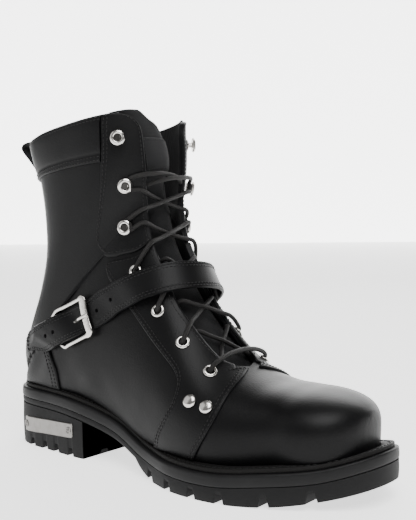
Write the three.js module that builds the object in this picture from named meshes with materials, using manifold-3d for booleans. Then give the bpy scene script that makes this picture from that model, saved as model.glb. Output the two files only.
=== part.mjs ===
// A men's black leather lace-up motorcycle boot for the right foot, standing empty on its lugged sole.
// Lengths are in millimetres. +X runs from heel to toe, +Y to the inner side of the foot and +Z up.
import * as THREE from "three";
import Module from "manifold-3d";

const wasm = await Module();
wasm.setup();
const { Manifold, Mesh: SolidMesh } = wasm;

// Driving sizes.
const SOLE_LENGTH = 318;
const BALL_WIDTH = 106.4; // of the outsole
const HEEL_LIFT = 45; // floor to the top of the midsole, at the heel
const BOOT_HEIGHT = 251; // floor to the collar's rim, at the front
const TOE_SPRING = 14;
const GAP = 0.3; // clearance between two pieces that meet
const WALL = 2.4; // of the upper, lining included
const OVERLAY = 1.5; // leather laid on the upper
const MIDSOLE_THICKNESS = 8;
const SHANK_THICKNESS = 4.5; // of the outsole under the arch and over the heel block
const WELT_THICKNESS = 3;
const WELT_INSET = 3;
const INSOLE_THICKNESS = 3.5;
const INSOLE_INSET = 18; // inside the sole's outline
const HEEL_LENGTH = 95;
const HEEL_BREAST_LEAN = 3; // of the heel's front face, from its foot to its top
const LUG_DEPTH = 6;
const LUG_SLOT = 5;
const LUG_REACH = 11; // of a slot, in from the tread's edge
const STRAP_WIDTH = 21.6;
const STRAP_THICKNESS = 2.2;
const LACE_DIAMETER = 3.2;
const LACE_CLEARANCE = 1.9; // of a taut run over the edge of the throat
const EYELET_DIAMETER = 9.6;
const EYELET_BORE = 4.4;
const EYELET_BARREL = 5.8;
const HOOK_DIAMETER = 11;
const RIVET_DIAMETER = 9;
const PULL_LOOP_WIDTH = 22;
const PULL_LOOP_THICKNESS = 1.6;
const TONGUE_THICKNESS = 4.5;
const TONGUE_EDGE = 1.2; // thickness at its sides
const TONGUE_RISE = 5; // above the collar's rim, in the middle
const TONGUE_ROUNDING = 3; // how much lower its two top corners are
const LABEL_THICKNESS = 0.5;
const BEYOND = 12; // how far a cutting block reaches past what it cuts

// The sole's outline and height. Along is a share of the sole's length, centre and half are shares of the
// ball width, and top is a share of the heel lift.
const SOLE = [
  // along, centre, half, top
  [0, 0, 0.348, 1],
  [0.142, 0, 0.348, 0.989],
  [0.267, -0.009, 0.363, 0.933],
  [0.393, -0.002, 0.359, 0.733],
  [0.503, -0.014, 0.409, 0.467],
  [0.613, -0.042, 0.493, 0.404],
  [0.723, -0.026, 0.515, 0.407],
  [0.824, 0.022, 0.471, 0.478],
  [0.912, 0.07, 0.432, 0.56],
  [1, 0.08, 0.4, 0.75],
];

// The upper's sections fan out from the sole, and from the back of the heel, to the ridge over the foot.
// Low and high end each section: x is a share of the sole's length, z of the boot's height, and a section
// with no low z starts on the sole. Outer, inner and the shifts are shares of the ball width. Widest and
// foot are shares of the section's own length and half width, and round is the exponent of its top.
const UPPER = [
  // low x, low z, high x, high z, outer, inner, widest, foot, round, low shift, high shift
  [0.805, null, 0.805, 0.263, 0.404, 0.414, 0.38, 0.9, 2.5, 0.056, 0.066],
  [0.748, null, 0.742, 0.273, 0.446, 0.432, 0.36, 0.92, 2.4, 0.028, 0.047],
  [0.676, null, 0.667, 0.307, 0.479, 0.432, 0.32, 0.92, 2.2, 0, 0.028],
  [0.585, null, 0.601, 0.394, 0.456, 0.404, 0.28, 0.9, 2.1, -0.009, 0.009],
  [0.487, null, 0.547, 0.494, 0.404, 0.367, 0.27, 0.88, 2.1, -0.009, 0],
  [0.377, null, 0.513, 0.582, 0.367, 0.357, 0.28, 0.86, 2.15, 0, 0],
  [0.258, null, 0.491, 0.645, 0.357, 0.357, 0.3, 0.84, 2.2, 0, 0],
  [0.138, null, 0.478, 0.697, 0.357, 0.357, 0.33, 0.8, 2.3, 0, 0],
  [0.05, null, 0.472, 0.741, 0.363, 0.363, 0.36, 0.62, 2.4, 0, 0],
  [0.03, null, 0.47, 0.751, 0.3638, 0.3638, 0.37, 0.34, 2.45, 0, 0],
  [0.024, null, 0.469, 0.757, 0.3645, 0.3645, 0.38, 0, 2.45, 0, 0],
  [0.019, 0.267, 0.465, 0.789, 0.373, 0.373, 0.41, 0, 2.5, 0, 0],
  [0.072, 0.418, 0.462, 0.829, 0.384, 0.389, 0.45, 0, 2.6, 0, 0],
  [0.104, 0.55, 0.459, 0.869, 0.395, 0.399, 0.48, 0, 2.7, 0, 0],
  [0.105, 0.677, 0.456, 0.908, 0.404, 0.409, 0.5, 0, 2.8, 0, 0],
  [0.091, 0.801, 0.453, 0.952, 0.414, 0.418, 0.5, 0, 2.8, 0, 0],
  [0.063, 0.928, 0.45, 1, 0.432, 0.437, 0.5, 0, 2.8, 0, 0],
];
const TIP = { x: 0.959, z: 0.199, plan: 2.3, ridge: 2.4, widest: 0.62 }; // the rounded front of the toe
const TOE_TURNS = [2.5, 9, 18, 30, 43, 57, 72]; // degrees round the toe, one section each
const FOOT_ROUND = 2.2; // exponent of every section's lower part
const BACK_ROW = TOE_TURNS.length + 10; // the section that starts at the back of the heel seat
const RIM_ROW = TOE_TURNS.length + UPPER.length - 1;

// Places on the upper: a section number, and a share of the way from the ridge down to the sole.
const EYELETS = [[9.27, 0.2], [10.27, 0.219], [11.42, 0.25], [13.03, 0.256]];
const HOOKS = [[15.43, 0.225], [19.19, 0.231], [21.75, 0.25]];
const RIVETS = [[8.87, 0.356], [9.37, 0.369]];
const THROAT = [
  // section, half width as a share
  [8.85, 0],
  [9.05, 0.07],
  [9.4, 0.105],
  [10.3, 0.13],
  [11, 0.15],
  [13, 0.15],
  [14.8, 0.137],
  [18.5, 0.125],
  [21.6, 0.12],
  [22.2, 0.127],
  [22.6, 0.15],
  [22.85, 0.185],
  [RIM_ROW, 0.23],
];
const CORNER_SECTIONS = [22.4, 22.6, 22.75, 22.88]; // between which its top corners are rounded

// The tongue's sections. Half is a share of the way round, sunk is how deep its middle lies under the
// lining, and fold is how far its inner half falls back into the boot.
const TONGUE = [
  // section, half, sunk, fold
  [8, 0.13, 0.5, 0],
  [9.4, 0.2, 3, 0],
  [11, 0.235, 6, 0],
  [13, 0.27, 8, 0],
  [17, 0.255, 9, 0],
  [18.4, 0.25, 6, 6],
  [19, 0.24, 1.5, 10],
  [20, 0.23, -1, 13],
  [21, 0.23, 0.5, 13],
  [22, 0.25, 4, 13],
  [RIM_ROW, 0.28, 8, 13],
];
const TONGUE_FOLD_WIDTH = 0.11; // the share of the way round in which the inner half falls back
const TONGUE_TOP = [
  // share of the way round, section up to which the tongue rises there
  [-0.28, RIM_ROW], [-0.05, RIM_ROW], [0, 22.3], [0.03, 21.8], [0.08, 21], [0.28, 20.5],
];

// Where the lug slots are, as shares of the sole's length.
const TREAD_SLOTS = [0.53, 0.6, 0.67, 0.735, 0.82, 0.9];
const HEEL_SLOTS = [0.1, 0.15, 0.195, 0.25];

// Side views of the panels laid on the upper: x is a share of the sole's length, z of the boot's height.
const EYELET_STAY = [
  [0.53, 0.04], [0.538, 0.104], [0.569, 0.165], [0.598, 0.216], [0.604, 0.258], [0.597, 0.283],
  [0.58, 0.306], [0.515, 0.368], [0.451, 0.439], [0.375, 0.532], [0.37, 0.575], [0.437, 0.594],
  [0.456, 0.612], [0.5, 0.64], [0.62, 0.5], [0.67, 0.34], [0.684, 0.292], [0.7, 0.275],
  [0.708, 0.257], [0.707, 0.216], [0.691, 0.158], [0.653, 0.04],
];
const HOOK_STAY = [
  [0.381, 1.06], [0.377, 0.865], [0.369, 0.753], [0.36, 0.63], [0.362, 0.602], [0.374, 0.59],
  [0.439, 0.607], [0.456, 0.626], [0.5, 0.66], [0.56, 0.66], [0.56, 1.06],
];
const COLLAR = [
  [-0.05, 0.785], [0.137, 0.826], [0.276, 0.847], [0.374, 0.859], [0.379, 1.06], [-0.05, 1.06],
];
const COUNTER = [
  [-0.05, 0.1], [0.201, 0.1], [0.199, 0.186], [0.196, 0.249], [0.177, 0.303], [0.16, 0.36],
  [-0.05, 0.27],
];

const LEATHER = material(0x1c1b1b, 0.5, 0);
const RUBBER = material(0x151515, 0.8, 0);
const MIDSOLE_RUBBER = material(0x242423, 0.7, 0);
const CLOTH = material(0x141414, 0.9, 0);
const NICKEL = material(0xc9c5bc, 0.25, 1);
const LACE = material(0x1a1614, 0.75, 0);
const INSOLE_CLOTH = material(0x3a3733, 0.95, 0);

function material(color, roughness, metalness) {
  return new THREE.MeshStandardMaterial({ color, roughness, metalness });
}

// A smooth curve through (places[i], values[i]), with each slope taken from the two neighbours.
function curve(places, values, at) {
  const last = places.length - 1;
  const x = Math.min(Math.max(at, places[0]), places[last]);
  let i = 0;
  while (i < last - 1 && x > places[i + 1]) i += 1;
  const slope = (k) => {
    const a = Math.max(k - 1, 0);
    const b = Math.min(k + 1, last);
    return (values[b] - values[a]) / (places[b] - places[a]);
  };
  const span = places[i + 1] - places[i];
  const t = (x - places[i]) / span;
  const t2 = t * t;
  const t3 = t2 * t;
  return values[i] * (2 * t3 - 3 * t2 + 1) + values[i + 1] * (3 * t2 - 2 * t3) +
    span * (slope(i) * (t3 - 2 * t2 + t) + slope(i + 1) * (t3 - t2));
}

function column(table, k) {
  return table.map((row) => row[k]);
}

const soleAlong = column(SOLE, 0).map((share) => share * SOLE_LENGTH);
const soleCentre = (x) => BALL_WIDTH * curve(soleAlong, column(SOLE, 1), x);
const soleHalf = (x) => BALL_WIDTH * curve(soleAlong, column(SOLE, 2), x) * endRounding(x);
const midsoleTop = (x) => HEEL_LIFT * curve(soleAlong, column(SOLE, 3), x);
const shankBottom = (x) => midsoleTop(x) - MIDSOLE_THICKNESS - GAP - SHANK_THICKNESS;

// The share of the full half width that the rounded heel and toe leave at x.
function endRounding(x) {
  const heel = Math.min(Math.max((0.142 * SOLE_LENGTH - x) / (0.142 * SOLE_LENGTH), 0), 1);
  const toe = Math.min(Math.max((x - 0.786 * SOLE_LENGTH) / (0.214 * SOLE_LENGTH), 0), 1);
  return (1 - heel ** 2.4) ** (1 / 2.4) * (1 - toe ** 2.3) ** (1 / 2.3);
}

// The tread's underside: off the floor under the arch, flat under the ball, and rising to the toe.
function treadBottom(x) {
  const start = 0.47 * SOLE_LENGTH;
  const flat = 0.545 * SOLE_LENGTH;
  const rise = 0.75 * SOLE_LENGTH;
  if (x < start) return shankBottom(x);
  if (x < flat) return shankBottom(x) * ((flat - x) / (flat - start)) ** 1.5;
  return TOE_SPRING * (Math.max(x - rise, 0) / (SOLE_LENGTH - rise)) ** 2;
}

const SOLE_STATIONS = [0, 20, 40, 60, 75].map((turn) =>
  0.142 * SOLE_LENGTH * (1 - Math.cos(THREE.MathUtils.degToRad(turn))));
for (let share = 0.142; share < 0.78; share += 0.04) SOLE_STATIONS.push(share * SOLE_LENGTH);
for (const turn of [15, 28, 40, 52, 64, 76, 84, 90])
  SOLE_STATIONS.push(SOLE_LENGTH * (0.786 + 0.214 * Math.sin(THREE.MathUtils.degToRad(turn))));

// The sole's outline moved inwards by inset: outer side from heel to toe, then inner side back again.
function soleOutline(inset, stations = SOLE_STATIONS) {
  const side = (sign) => stations.map((x) => new THREE.Vector2(x, soleCentre(x) + sign * soleHalf(x)));
  const loop = [...side(-1), ...side(1).reverse()];
  return loop.map((point, i) => {
    let a = i;
    let b = i;
    while (loop[a].distanceTo(point) < 1e-6) a = (a + loop.length - 1) % loop.length;
    while (loop[b].distanceTo(point) < 1e-6) b = (b + 1) % loop.length;
    const along = loop[b].clone().sub(loop[a]).normalize();
    return new THREE.Vector2(point.x - along.y * inset, point.y + along.x * inset);
  });
}

// A closed body from points and triangles, with equal points joined and flat triangles dropped.
function body(points, faces) {
  const seen = new Map();
  const kept = [];
  const index = points.map((p) => {
    const key = `${Math.round(p.x * 2000)},${Math.round(p.y * 2000)},${Math.round(p.z * 2000)}`;
    if (!seen.has(key)) {
      seen.set(key, kept.length / 3);
      kept.push(p.x, p.y, p.z);
    }
    return seen.get(key);
  });
  const triangles = faces
    .map((face) => face.map((i) => index[i]))
    .filter(([a, b, c]) => a !== b && b !== c && c !== a);
  const at = (i) => new THREE.Vector3(kept[3 * i], kept[3 * i + 1], kept[3 * i + 2]);
  let volume = 0;
  for (const [a, b, c] of triangles) volume += at(a).dot(at(b).cross(at(c)));
  const facing = volume < 0 ? triangles.map(([a, b, c]) => [a, c, b]) : triangles;
  return new Manifold(new SolidMesh({
    numProp: 3,
    vertProperties: new Float32Array(kept),
    triVerts: new Uint32Array(facing.flat()),
  }));
}

// A body through a row of rings. In each ring the point i faces the point i from the end, so a ladder of
// triangles closes it. A looped body has no ends.
function loft(rings, looped = false) {
  const count = rings[0].length;
  const points = rings.flat();
  const faces = [];
  const steps = looped ? rings.length : rings.length - 1;
  for (let r = 0; r < steps; r += 1) {
    for (let i = 0; i < count; i += 1) {
      const a = r * count + i;
      const b = r * count + ((i + 1) % count);
      const c = ((r + 1) % rings.length) * count + i;
      const d = ((r + 1) % rings.length) * count + ((i + 1) % count);
      if (i < count / 2) faces.push([a, b, d], [a, d, c]);
      else faces.push([a, b, c], [b, d, c]);
    }
  }
  if (!looped) {
    const end = (rings.length - 1) * count;
    for (let i = 0; i < Math.floor(count / 2); i += 1) {
      const j = count - 1 - i;
      faces.push([i, j, i + 1], [i + 1, j, j - 1]);
      faces.push([end + i, end + i + 1, end + j], [end + i + 1, end + j - 1, end + j]);
    }
  }
  return body(points, faces);
}

// A sheet between two grids of points.
function sheet(front, back) {
  return loft(front.map((row, r) => [...row, ...back[r].slice().reverse()]));
}

// A flat-sided block: a side view, given as (x, z) points, drawn out from y = from to y = to.
function sideBlock(outline, from, to) {
  const points = outline.map(([x, z]) => new THREE.Vector2(x, z));
  if (THREE.ShapeUtils.isClockWise(points)) points.reverse();
  const count = points.length;
  const faces = [];
  for (const [a, b, c] of THREE.ShapeUtils.triangulateShape(points, []))
    faces.push([a, b, c], [a + count, c + count, b + count]);
  for (let i = 0; i < count; i += 1) {
    const j = (i + 1) % count;
    faces.push([i, i + count, j], [j, i + count, j + count]);
  }
  return body([from, to].flatMap((y) => points.map((p) => new THREE.Vector3(p.x, y, p.y))), faces);
}

function panelBlock(panel, from, to) {
  return sideBlock(panel.map(([x, z]) => [x * SOLE_LENGTH, z * BOOT_HEIGHT]), from, to);
}

// A slab of the sole: levels of [inset, height as a function of x], from the lowest up.
function slab(levels, stations) {
  return loft(levels.map(([inset, height]) =>
    soleOutline(inset, stations).map((p) => new THREE.Vector3(p.x, p.y, height(p.x)))));
}

// The upper's sections, those round the toe worked out from the first one in the table.
function upperRows() {
  const table = UPPER.map(([lowX, lowZ, highX, highZ, outer, inner, widest, foot, round, low, high]) => [
    lowX * SOLE_LENGTH,
    lowZ === null ? midsoleTop(lowX * SOLE_LENGTH) + GAP : lowZ * BOOT_HEIGHT,
    highX * SOLE_LENGTH, highZ * BOOT_HEIGHT, outer * BALL_WIDTH, inner * BALL_WIDTH,
    widest, foot, round, low * BALL_WIDTH, high * BALL_WIDTH,
  ]);
  const first = table[0];
  const tipX = TIP.x * SOLE_LENGTH;
  const tipZ = TIP.z * BOOT_HEIGHT;
  const toe = TOE_TURNS.map((turn) => {
    const reach = Math.cos(THREE.MathUtils.degToRad(turn));
    const x = first[0] + (tipX - first[0]) * reach;
    const plan = (1 - reach ** TIP.plan) ** (1 / TIP.plan);
    const ridge = (1 - reach ** TIP.ridge) ** (1 / TIP.ridge);
    return [
      x, midsoleTop(x) + GAP, x, tipZ + (first[3] - tipZ) * ridge, first[4] * plan, first[5] * plan,
      first[6] + (TIP.widest - first[6]) * (1 - ridge), first[7] + (1 - first[7]) * (1 - plan),
      2 + (first[8] - 2) * ridge, first[9], first[10],
    ];
  });
  return [...toe, ...table];
}

const ROWS = upperRows();
const ROW_PLACES = ROWS.map((row, i) => i);
const ROW_COLUMNS = ROWS[0].map((value, k) => column(ROWS, k));

// A point of the upper's outer face. Across runs from -1 at the outer side's sole, over 0 at the ridge,
// to 1 at the inner side's.
function facePoint(section, across) {
  const [lowX, lowZ, highX, highZ, outer, inner, widest, footShare, round, low, high] =
    ROW_COLUMNS.map((values) => curve(ROW_PLACES, values, section));
  const foot = Math.min(Math.max(footShare, 0), 0.999);
  const half = across < 0 ? outer : inner;
  const climb = 1 - Math.abs(across);
  const depth = widest / (1 - foot ** FOOT_ROUND) ** (1 / FOOT_ROUND);
  const start = Math.asin(Math.min(1, (widest / depth) ** (FOOT_ROUND / 2)));
  let share;
  let width;
  if (climb < 0.5) {
    const turn = start * (1 - 2 * climb);
    share = widest - depth * Math.sin(turn) ** (2 / FOOT_ROUND);
    width = half * Math.max(Math.cos(turn), 0) ** (2 / FOOT_ROUND);
  } else {
    const turn = (Math.PI / 2) * (2 * climb - 1);
    share = widest + (1 - widest) * Math.sin(turn) ** (2 / round);
    width = half * Math.max(Math.cos(turn), 0) ** (2 / round);
  }
  return new THREE.Vector3(
    lowX + (highX - lowX) * share,
    low + (high - low) * share + Math.sign(across) * width,
    lowZ + (highZ - lowZ) * share,
  );
}

function slopeNormal(section, across) {
  const step = 0.02;
  const clampSection = (s) => Math.min(Math.max(s, 0), RIM_ROW);
  const clampAcross = (a) => Math.min(Math.max(a, -1), 1);
  const along = facePoint(clampSection(section + step), across)
    .sub(facePoint(clampSection(section - step), across));
  const round = facePoint(section, clampAcross(across + step))
    .sub(facePoint(section, clampAcross(across - step)));
  return round.cross(along).normalize();
}

// The outward direction at a point of the face, shared by both sides where they meet at the back.
function faceNormal(section, across) {
  const normal = slopeNormal(section, across);
  const closed = Math.abs(across) > 0.999 && section >= BACK_ROW - 0.01;
  return closed ? normal.add(slopeNormal(section, -across)).normalize() : normal;
}

const SECTIONS = [0, 1, 2, 3, 4, 5, 6, 7, 8, 8.8, 9.4, 10, 10.7, 11.4, 12, 13, 14, 15, 16, 17,
  17.6, 18.3, 19, 20, 21, 22, 23];
const ACROSS_STEPS = 20;
const ACROSS = Array.from({ length: ACROSS_STEPS + 1 }, (unused, i) => (2 * i) / ACROSS_STEPS - 1);
const GRID = SECTIONS.map((s) => ACROSS.map((a) => ({ point: facePoint(s, a), normal: faceNormal(s, a) })));

// A point on the faceted face, height above it, with its normal.
function onFace(section, across, height = 0) {
  const s = Math.min(Math.max(section, 0), RIM_ROW);
  let i = 0;
  while (i < SECTIONS.length - 2 && s > SECTIONS[i + 1]) i += 1;
  const u = (s - SECTIONS[i]) / (SECTIONS[i + 1] - SECTIONS[i]);
  const place = Math.min(Math.max(((across + 1) / 2) * ACROSS_STEPS, 0), ACROSS_STEPS);
  const j = Math.min(Math.floor(place), ACROSS_STEPS - 1);
  const v = place - j;
  const mix = (key) => GRID[i][j][key].clone().multiplyScalar((1 - u) * (1 - v))
    .addScaledVector(GRID[i + 1][j][key], u * (1 - v))
    .addScaledVector(GRID[i][j + 1][key], (1 - u) * v)
    .addScaledVector(GRID[i + 1][j + 1][key], u * v);
  const normal = mix("normal").normalize();
  return { point: mix("point").addScaledVector(normal, height), normal };
}

// The boot's whole form as one solid, its face moved out by offset. Skirt carries it down past the sole's
// top, and rise carries it up past the rim.
function form(offset, skirt = 0, rise = 0) {
  const rings = GRID.map((row, r) => {
    const ring = row.map(({ point, normal }) => point.clone().addScaledVector(normal, offset));
    const drop = SECTIONS[r] <= BACK_ROW ? skirt : 0;
    const ends = [ring[0], ring[ring.length - 1]].map((p) => p.clone().setZ(p.z - drop));
    return [ends[0], ...ring, ends[1]];
  });
  if (rise > 0) rings.push(rings[rings.length - 1].map((p) => p.clone().setZ(p.z + rise)));
  return loft(rings);
}

// The wedge that opens the throat.
function throatOpening() {
  const reach = 9;
  const ring = (section, half, rise) => {
    const sides = [-half, half].map((across) => onFace(section, across));
    const ridge = onFace(section, 0, 2 * reach).point;
    const shift = (p) => p.setZ(p.z + rise);
    const [outer, inner] = sides.map(({ point, normal }) =>
      [-reach, reach].map((out) => shift(point.clone().addScaledVector(normal, out))));
    return [outer[0], outer[1], shift(ridge), inner[1], inner[0]];
  };
  const rings = [...SECTIONS.filter((s) => s > THROAT[0][0] && s < RIM_ROW), ...CORNER_SECTIONS, RIM_ROW]
    .map((s) => ring(s, curve(column(THROAT, 0), column(THROAT, 1), s), 0));
  rings.unshift(ring(THROAT[0][0], 0, 0));
  rings.push(ring(RIM_ROW, THROAT[THROAT.length - 1][1], 2 * BEYOND));
  return loft(rings);
}

// A turned body: profile of [radius, height], closed round the axis.
function turned(profile, sides) {
  const points = [];
  const faces = [];
  const count = profile.length;
  for (let k = 0; k < sides; k += 1) {
    const turn = (2 * Math.PI * k) / sides;
    for (const [radius, height] of profile)
      points.push(new THREE.Vector3(radius * Math.cos(turn), radius * Math.sin(turn), height));
    const next = ((k + 1) % sides) * count;
    for (let i = 0; i < count; i += 1) {
      const j = (i + 1) % count;
      faces.push([k * count + i, k * count + j, next + j], [k * count + i, next + j, next + i]);
    }
  }
  return body(points, faces);
}

// A cord or bar along a path of { point, normal }: its section is an oval, wide across and deep along the
// normal, with the given number of sides.
function swept(path, wide, deep, sides, looped = false) {
  const rings = path.map(({ point, normal }, i) => {
    const before = path[looped ? (i + path.length - 1) % path.length : Math.max(i - 1, 0)].point;
    const after = path[looped ? (i + 1) % path.length : Math.min(i + 1, path.length - 1)].point;
    const along = after.clone().sub(before).normalize();
    const across = along.clone().cross(normal).normalize();
    const up = across.clone().cross(along).normalize();
    return Array.from({ length: sides }, (unused, k) => {
      const turn = (2 * Math.PI * (k + 0.5)) / sides;
      return point.clone()
        .addScaledVector(across, (wide / 2) * Math.cos(turn))
        .addScaledVector(up, (deep / 2) * Math.sin(turn));
    });
  });
  return loft(rings, looped);
}

const boot = new THREE.Group(); // the pieces, with x counted from the back of the heel

function add(name, solid, look, place = null) {
  const { vertProperties, triVerts } = solid.getMesh();
  const geometry = new THREE.BufferGeometry();
  geometry.setAttribute("position", new THREE.BufferAttribute(new Float32Array(vertProperties), 3));
  geometry.setIndex(new THREE.BufferAttribute(new Uint32Array(triVerts), 1));
  geometry.computeVertexNormals();
  const mesh = new THREE.Mesh(geometry, look);
  mesh.name = name;
  if (place) {
    mesh.position.copy(place.point);
    mesh.quaternion.setFromUnitVectors(new THREE.Vector3(0, 0, 1), place.normal);
  }
  boot.add(mesh);
  return mesh;
}

function placed(solid, { point, normal }) {
  const turn = new THREE.Quaternion().setFromUnitVectors(new THREE.Vector3(0, 0, 1), normal);
  const matrix = new THREE.Matrix4().compose(point, turn, new THREE.Vector3(1, 1, 1));
  return solid.transform(matrix.elements);
}

function joined(solids) {
  return solids.reduce((whole, solid) => whole.add(solid));
}

// Slots cut up into the edge of the tread at each share of the sole's length, on both sides.
function edgeSlots(shares, bottom) {
  const cuts = [];
  for (const x of shares.map((share) => share * SOLE_LENGTH)) {
    for (const sign of [-1, 1]) {
      const edge = soleCentre(x) + sign * soleHalf(x);
      const floor = bottom(x);
      cuts.push(loft([-1, 1].map((end) => {
        const half = (LUG_SLOT / 2) * end;
        return [
          new THREE.Vector3(x + half * 1.3, edge - sign * LUG_REACH, floor - BEYOND / 4),
          new THREE.Vector3(x + half * 1.3, edge + sign * LUG_REACH, floor - BEYOND / 4),
          new THREE.Vector3(x + half * 0.7, edge + sign * LUG_REACH, floor + LUG_DEPTH),
          new THREE.Vector3(x + half * 0.7, edge - sign * LUG_REACH, floor + LUG_DEPTH),
        ];
      })));
    }
  }
  return joined(cuts);
}

function addSole() {
  const shankTop = (x) => midsoleTop(x) - MIDSOLE_THICKNESS - GAP;
  const tread = slab([
    [1.5, treadBottom],
    [0.6, (x) => Math.max(treadBottom(x) + 2, shankTop(x) - LUG_DEPTH)],
    [0.6, shankTop],
  ]);
  add("outsole", tread.subtract(edgeSlots(TREAD_SLOTS, treadBottom)), RUBBER);

  const midsoleBottom = (x) => midsoleTop(x) - MIDSOLE_THICKNESS;
  add("midsole", slab([
    [0.8, midsoleBottom],
    [0, (x) => midsoleBottom(x) + 1.2],
    [0, (x) => midsoleTop(x) - 2],
    [1.6, midsoleTop],
  ]), MIDSOLE_RUBBER);

  const floor = () => 0;
  const breast = sideBlock([
    [-BEYOND, -BEYOND],
    [HEEL_LENGTH - HEEL_BREAST_LEAN, -BEYOND],
    [HEEL_LENGTH, HEEL_LIFT + BEYOND],
    [-BEYOND, HEEL_LIFT + BEYOND],
  ], -BALL_WIDTH, BALL_WIDTH);
  add("heel_block", slab([[1, floor], [1, (x) => shankBottom(x) - GAP]]).intersect(breast)
    .subtract(edgeSlots(HEEL_SLOTS, floor)), RUBBER);

  add("welt", slab([
    [WELT_INSET, (x) => midsoleTop(x) + GAP],
    [WELT_INSET + 0.5, (x) => midsoleTop(x) + WELT_THICKNESS],
  ]).subtract(form(2 * GAP, 4)), LEATHER);
  add("insole", slab([
    [INSOLE_INSET, (x) => midsoleTop(x) + GAP],
    [INSOLE_INSET, (x) => midsoleTop(x) + GAP + INSOLE_THICKNESS],
  ]), INSOLE_CLOTH);
}

const SIDES = [["lateral", -1], ["medial", 1]];

// The hollow upper, and the panels that lie on it.
function addUpper() {
  const opening = throatOpening();
  const cavity = form(-WALL, BEYOND / 2, BEYOND);
  const hole = EYELET_BARREL / 2 + GAP;
  const eyeletHole = turned([[0, -BEYOND], [hole, -BEYOND], [hole, BEYOND], [0, BEYOND]], 8);
  const eyeletHoles = joined(SIDES.flatMap(([name, sign]) =>
    EYELETS.map(([section, across]) => placed(eyeletHole, onFace(section, sign * across)))));
  const soleUpTo = (height) =>
    slab([[-BEYOND, (x) => midsoleTop(x) - 2 * BEYOND], [-BEYOND, (x) => midsoleTop(x) + height]]);
  add("upper", form(0, 4).subtract(cavity).subtract(opening).subtract(eyeletHoles).subtract(soleUpTo(GAP)),
    LEATHER);

  const shell = form(GAP + OVERLAY).subtract(form(GAP, BEYOND, BEYOND))
    .subtract(soleUpTo(WELT_THICKNESS + GAP));
  for (const [name, sign] of SIDES) {
    const half = (panel) => panelBlock(panel, ...(sign < 0 ? [-BALL_WIDTH, -0.5] : [0.5, BALL_WIDTH]));
    add(`eyelet_stay_${name}`,
      shell.intersect(half(EYELET_STAY)).subtract(opening).subtract(eyeletHoles), LEATHER);
    add(`hook_stay_${name}`, shell.intersect(half(HOOK_STAY)).subtract(opening), LEATHER);
  }
  add("collar", shell.intersect(panelBlock(COLLAR, -BALL_WIDTH, BALL_WIDTH)), LEATHER);
  add("counter", shell.intersect(panelBlock(COUNTER, -BALL_WIDTH, BALL_WIDTH)), LEATHER);
}

const tongueColumn = (k, section) => curve(column(TONGUE, 0), column(TONGUE, k), section);

// A point of the tongue's front, moved in by depth.
function onTongue(section, across, depth) {
  const share = across / tongueColumn(1, section);
  const fall = Math.min(Math.max(across / TONGUE_FOLD_WIDTH, 0), 1);
  const sunk = tongueColumn(2, section) * (1 - share * share) + tongueColumn(3, section) * fall;
  return onFace(section, across, -(WALL + 2 * GAP) - sunk - depth).point;
}

// The tongue lies inside the upper. It is thick in the middle and leans back at its top, and its inner half
// falls back there. The label is sewn on its outer half.
function addTongue() {
  const places = [8, ...SECTIONS.filter((s) => s > 8.2)];
  const shares = [-1, -0.67, -0.33, 0, 0.33, 0.67, 1];
  const grid = (depth) => {
    const rows = places.map((place) => shares.map((share) => {
      const top = curve(column(TONGUE_TOP, 0), column(TONGUE_TOP, 1), share * tongueColumn(1, place));
      const s = places[0] + ((place - places[0]) * (top - places[0])) / (RIM_ROW - places[0]);
      return onTongue(s, share * tongueColumn(1, s), depth(1 - share * share));
    }));
    rows.push(rows[rows.length - 1].map((p, k) => new THREE.Vector3(-0.12, 0, 1)
      .multiplyScalar(TONGUE_RISE - TONGUE_ROUNDING * shares[k] ** 2).add(p)));
    return rows;
  };
  add("tongue", sheet(grid(() => 0),
    grid((crown) => TONGUE_EDGE + (TONGUE_THICKNESS - TONGUE_EDGE) * crown)), CLOTH);
  const label = (height) => [19.3, 20, 20.8, 21.6].map((s) =>
    [-0.11, -0.075, -0.04, 0, 0.04].map((across) => onTongue(s, across, -height)));
  add("tongue_label", sheet(label(2 * GAP + LABEL_THICKNESS), label(2 * GAP)), CLOTH);
}

// The strap lies round the boot in a sloping plane that also tilts down to the inner side. Its x and z are a
// place on it over the boot's middle line, as shares of the sole's length and the boot's height. Droop is how
// far the strap sinks where it goes through the buckle.
const STRAP_PLANE = { x: 0.314, z: 0.41, slope: 0.42, tilt: 0.14, droop: 3 };
// How far the strap's underside stands off the upper, from its free end to where it is sewn down.
const STRAP_LIFTS = [
  // across, lift
  [-0.65, 2.9], [-0.62, 3.1], [-0.59, 4], [-0.56, 5.6], [-0.535, 6], [-0.51, 6.3], [-0.49, 5.9],
  [-0.475, 4.2], [-0.466, 2], [-0.457, 0.9], [-0.436, 0.8], [-0.415, 0.8], [-0.39, 1.3], [-0.365, 2.6],
  [-0.34, 3.8], [-0.28, 7.3], [-0.2, 7.8], [-0.1, 7.9], [0, 7.9], [0.1, 7.9], [0.2, 7.7],
  [0.28, 7.2], [0.34, 3.8], [0.37, 2.4], [0.4, 1.1], [0.45, 0.8], [0.53, 0.8],
];
// The places of the buckle's two bars, how much they lean for each millimetre of rise, and its lifts and
// sizes. Half is half its width.
const BUCKLE = {
  front: -0.436, back: -0.513, frontLean: 0.0017, backLean: 0.0022, half: 13.4,
  frontLift: 4.7, backLift: 3.4, wide: 4, deep: 2, corner: 1.5,
};
const PRONG = [
  // along the buckle, lift
  [0.82, 3], [0.7, 2.6], [0.55, 2.5], [0.44, 3], [0.32, 4.8], [0.2, 6.6], [0.1, 7.3], [0, 7.4], [-0.1, 7],
];
const PRONG_SIZE = { wide: 2.4, deep: 1.8 };
const CHAPE = { places: [-0.565, -0.543, -0.518, -0.495], half: 9, thickness: 1.2 };

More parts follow.
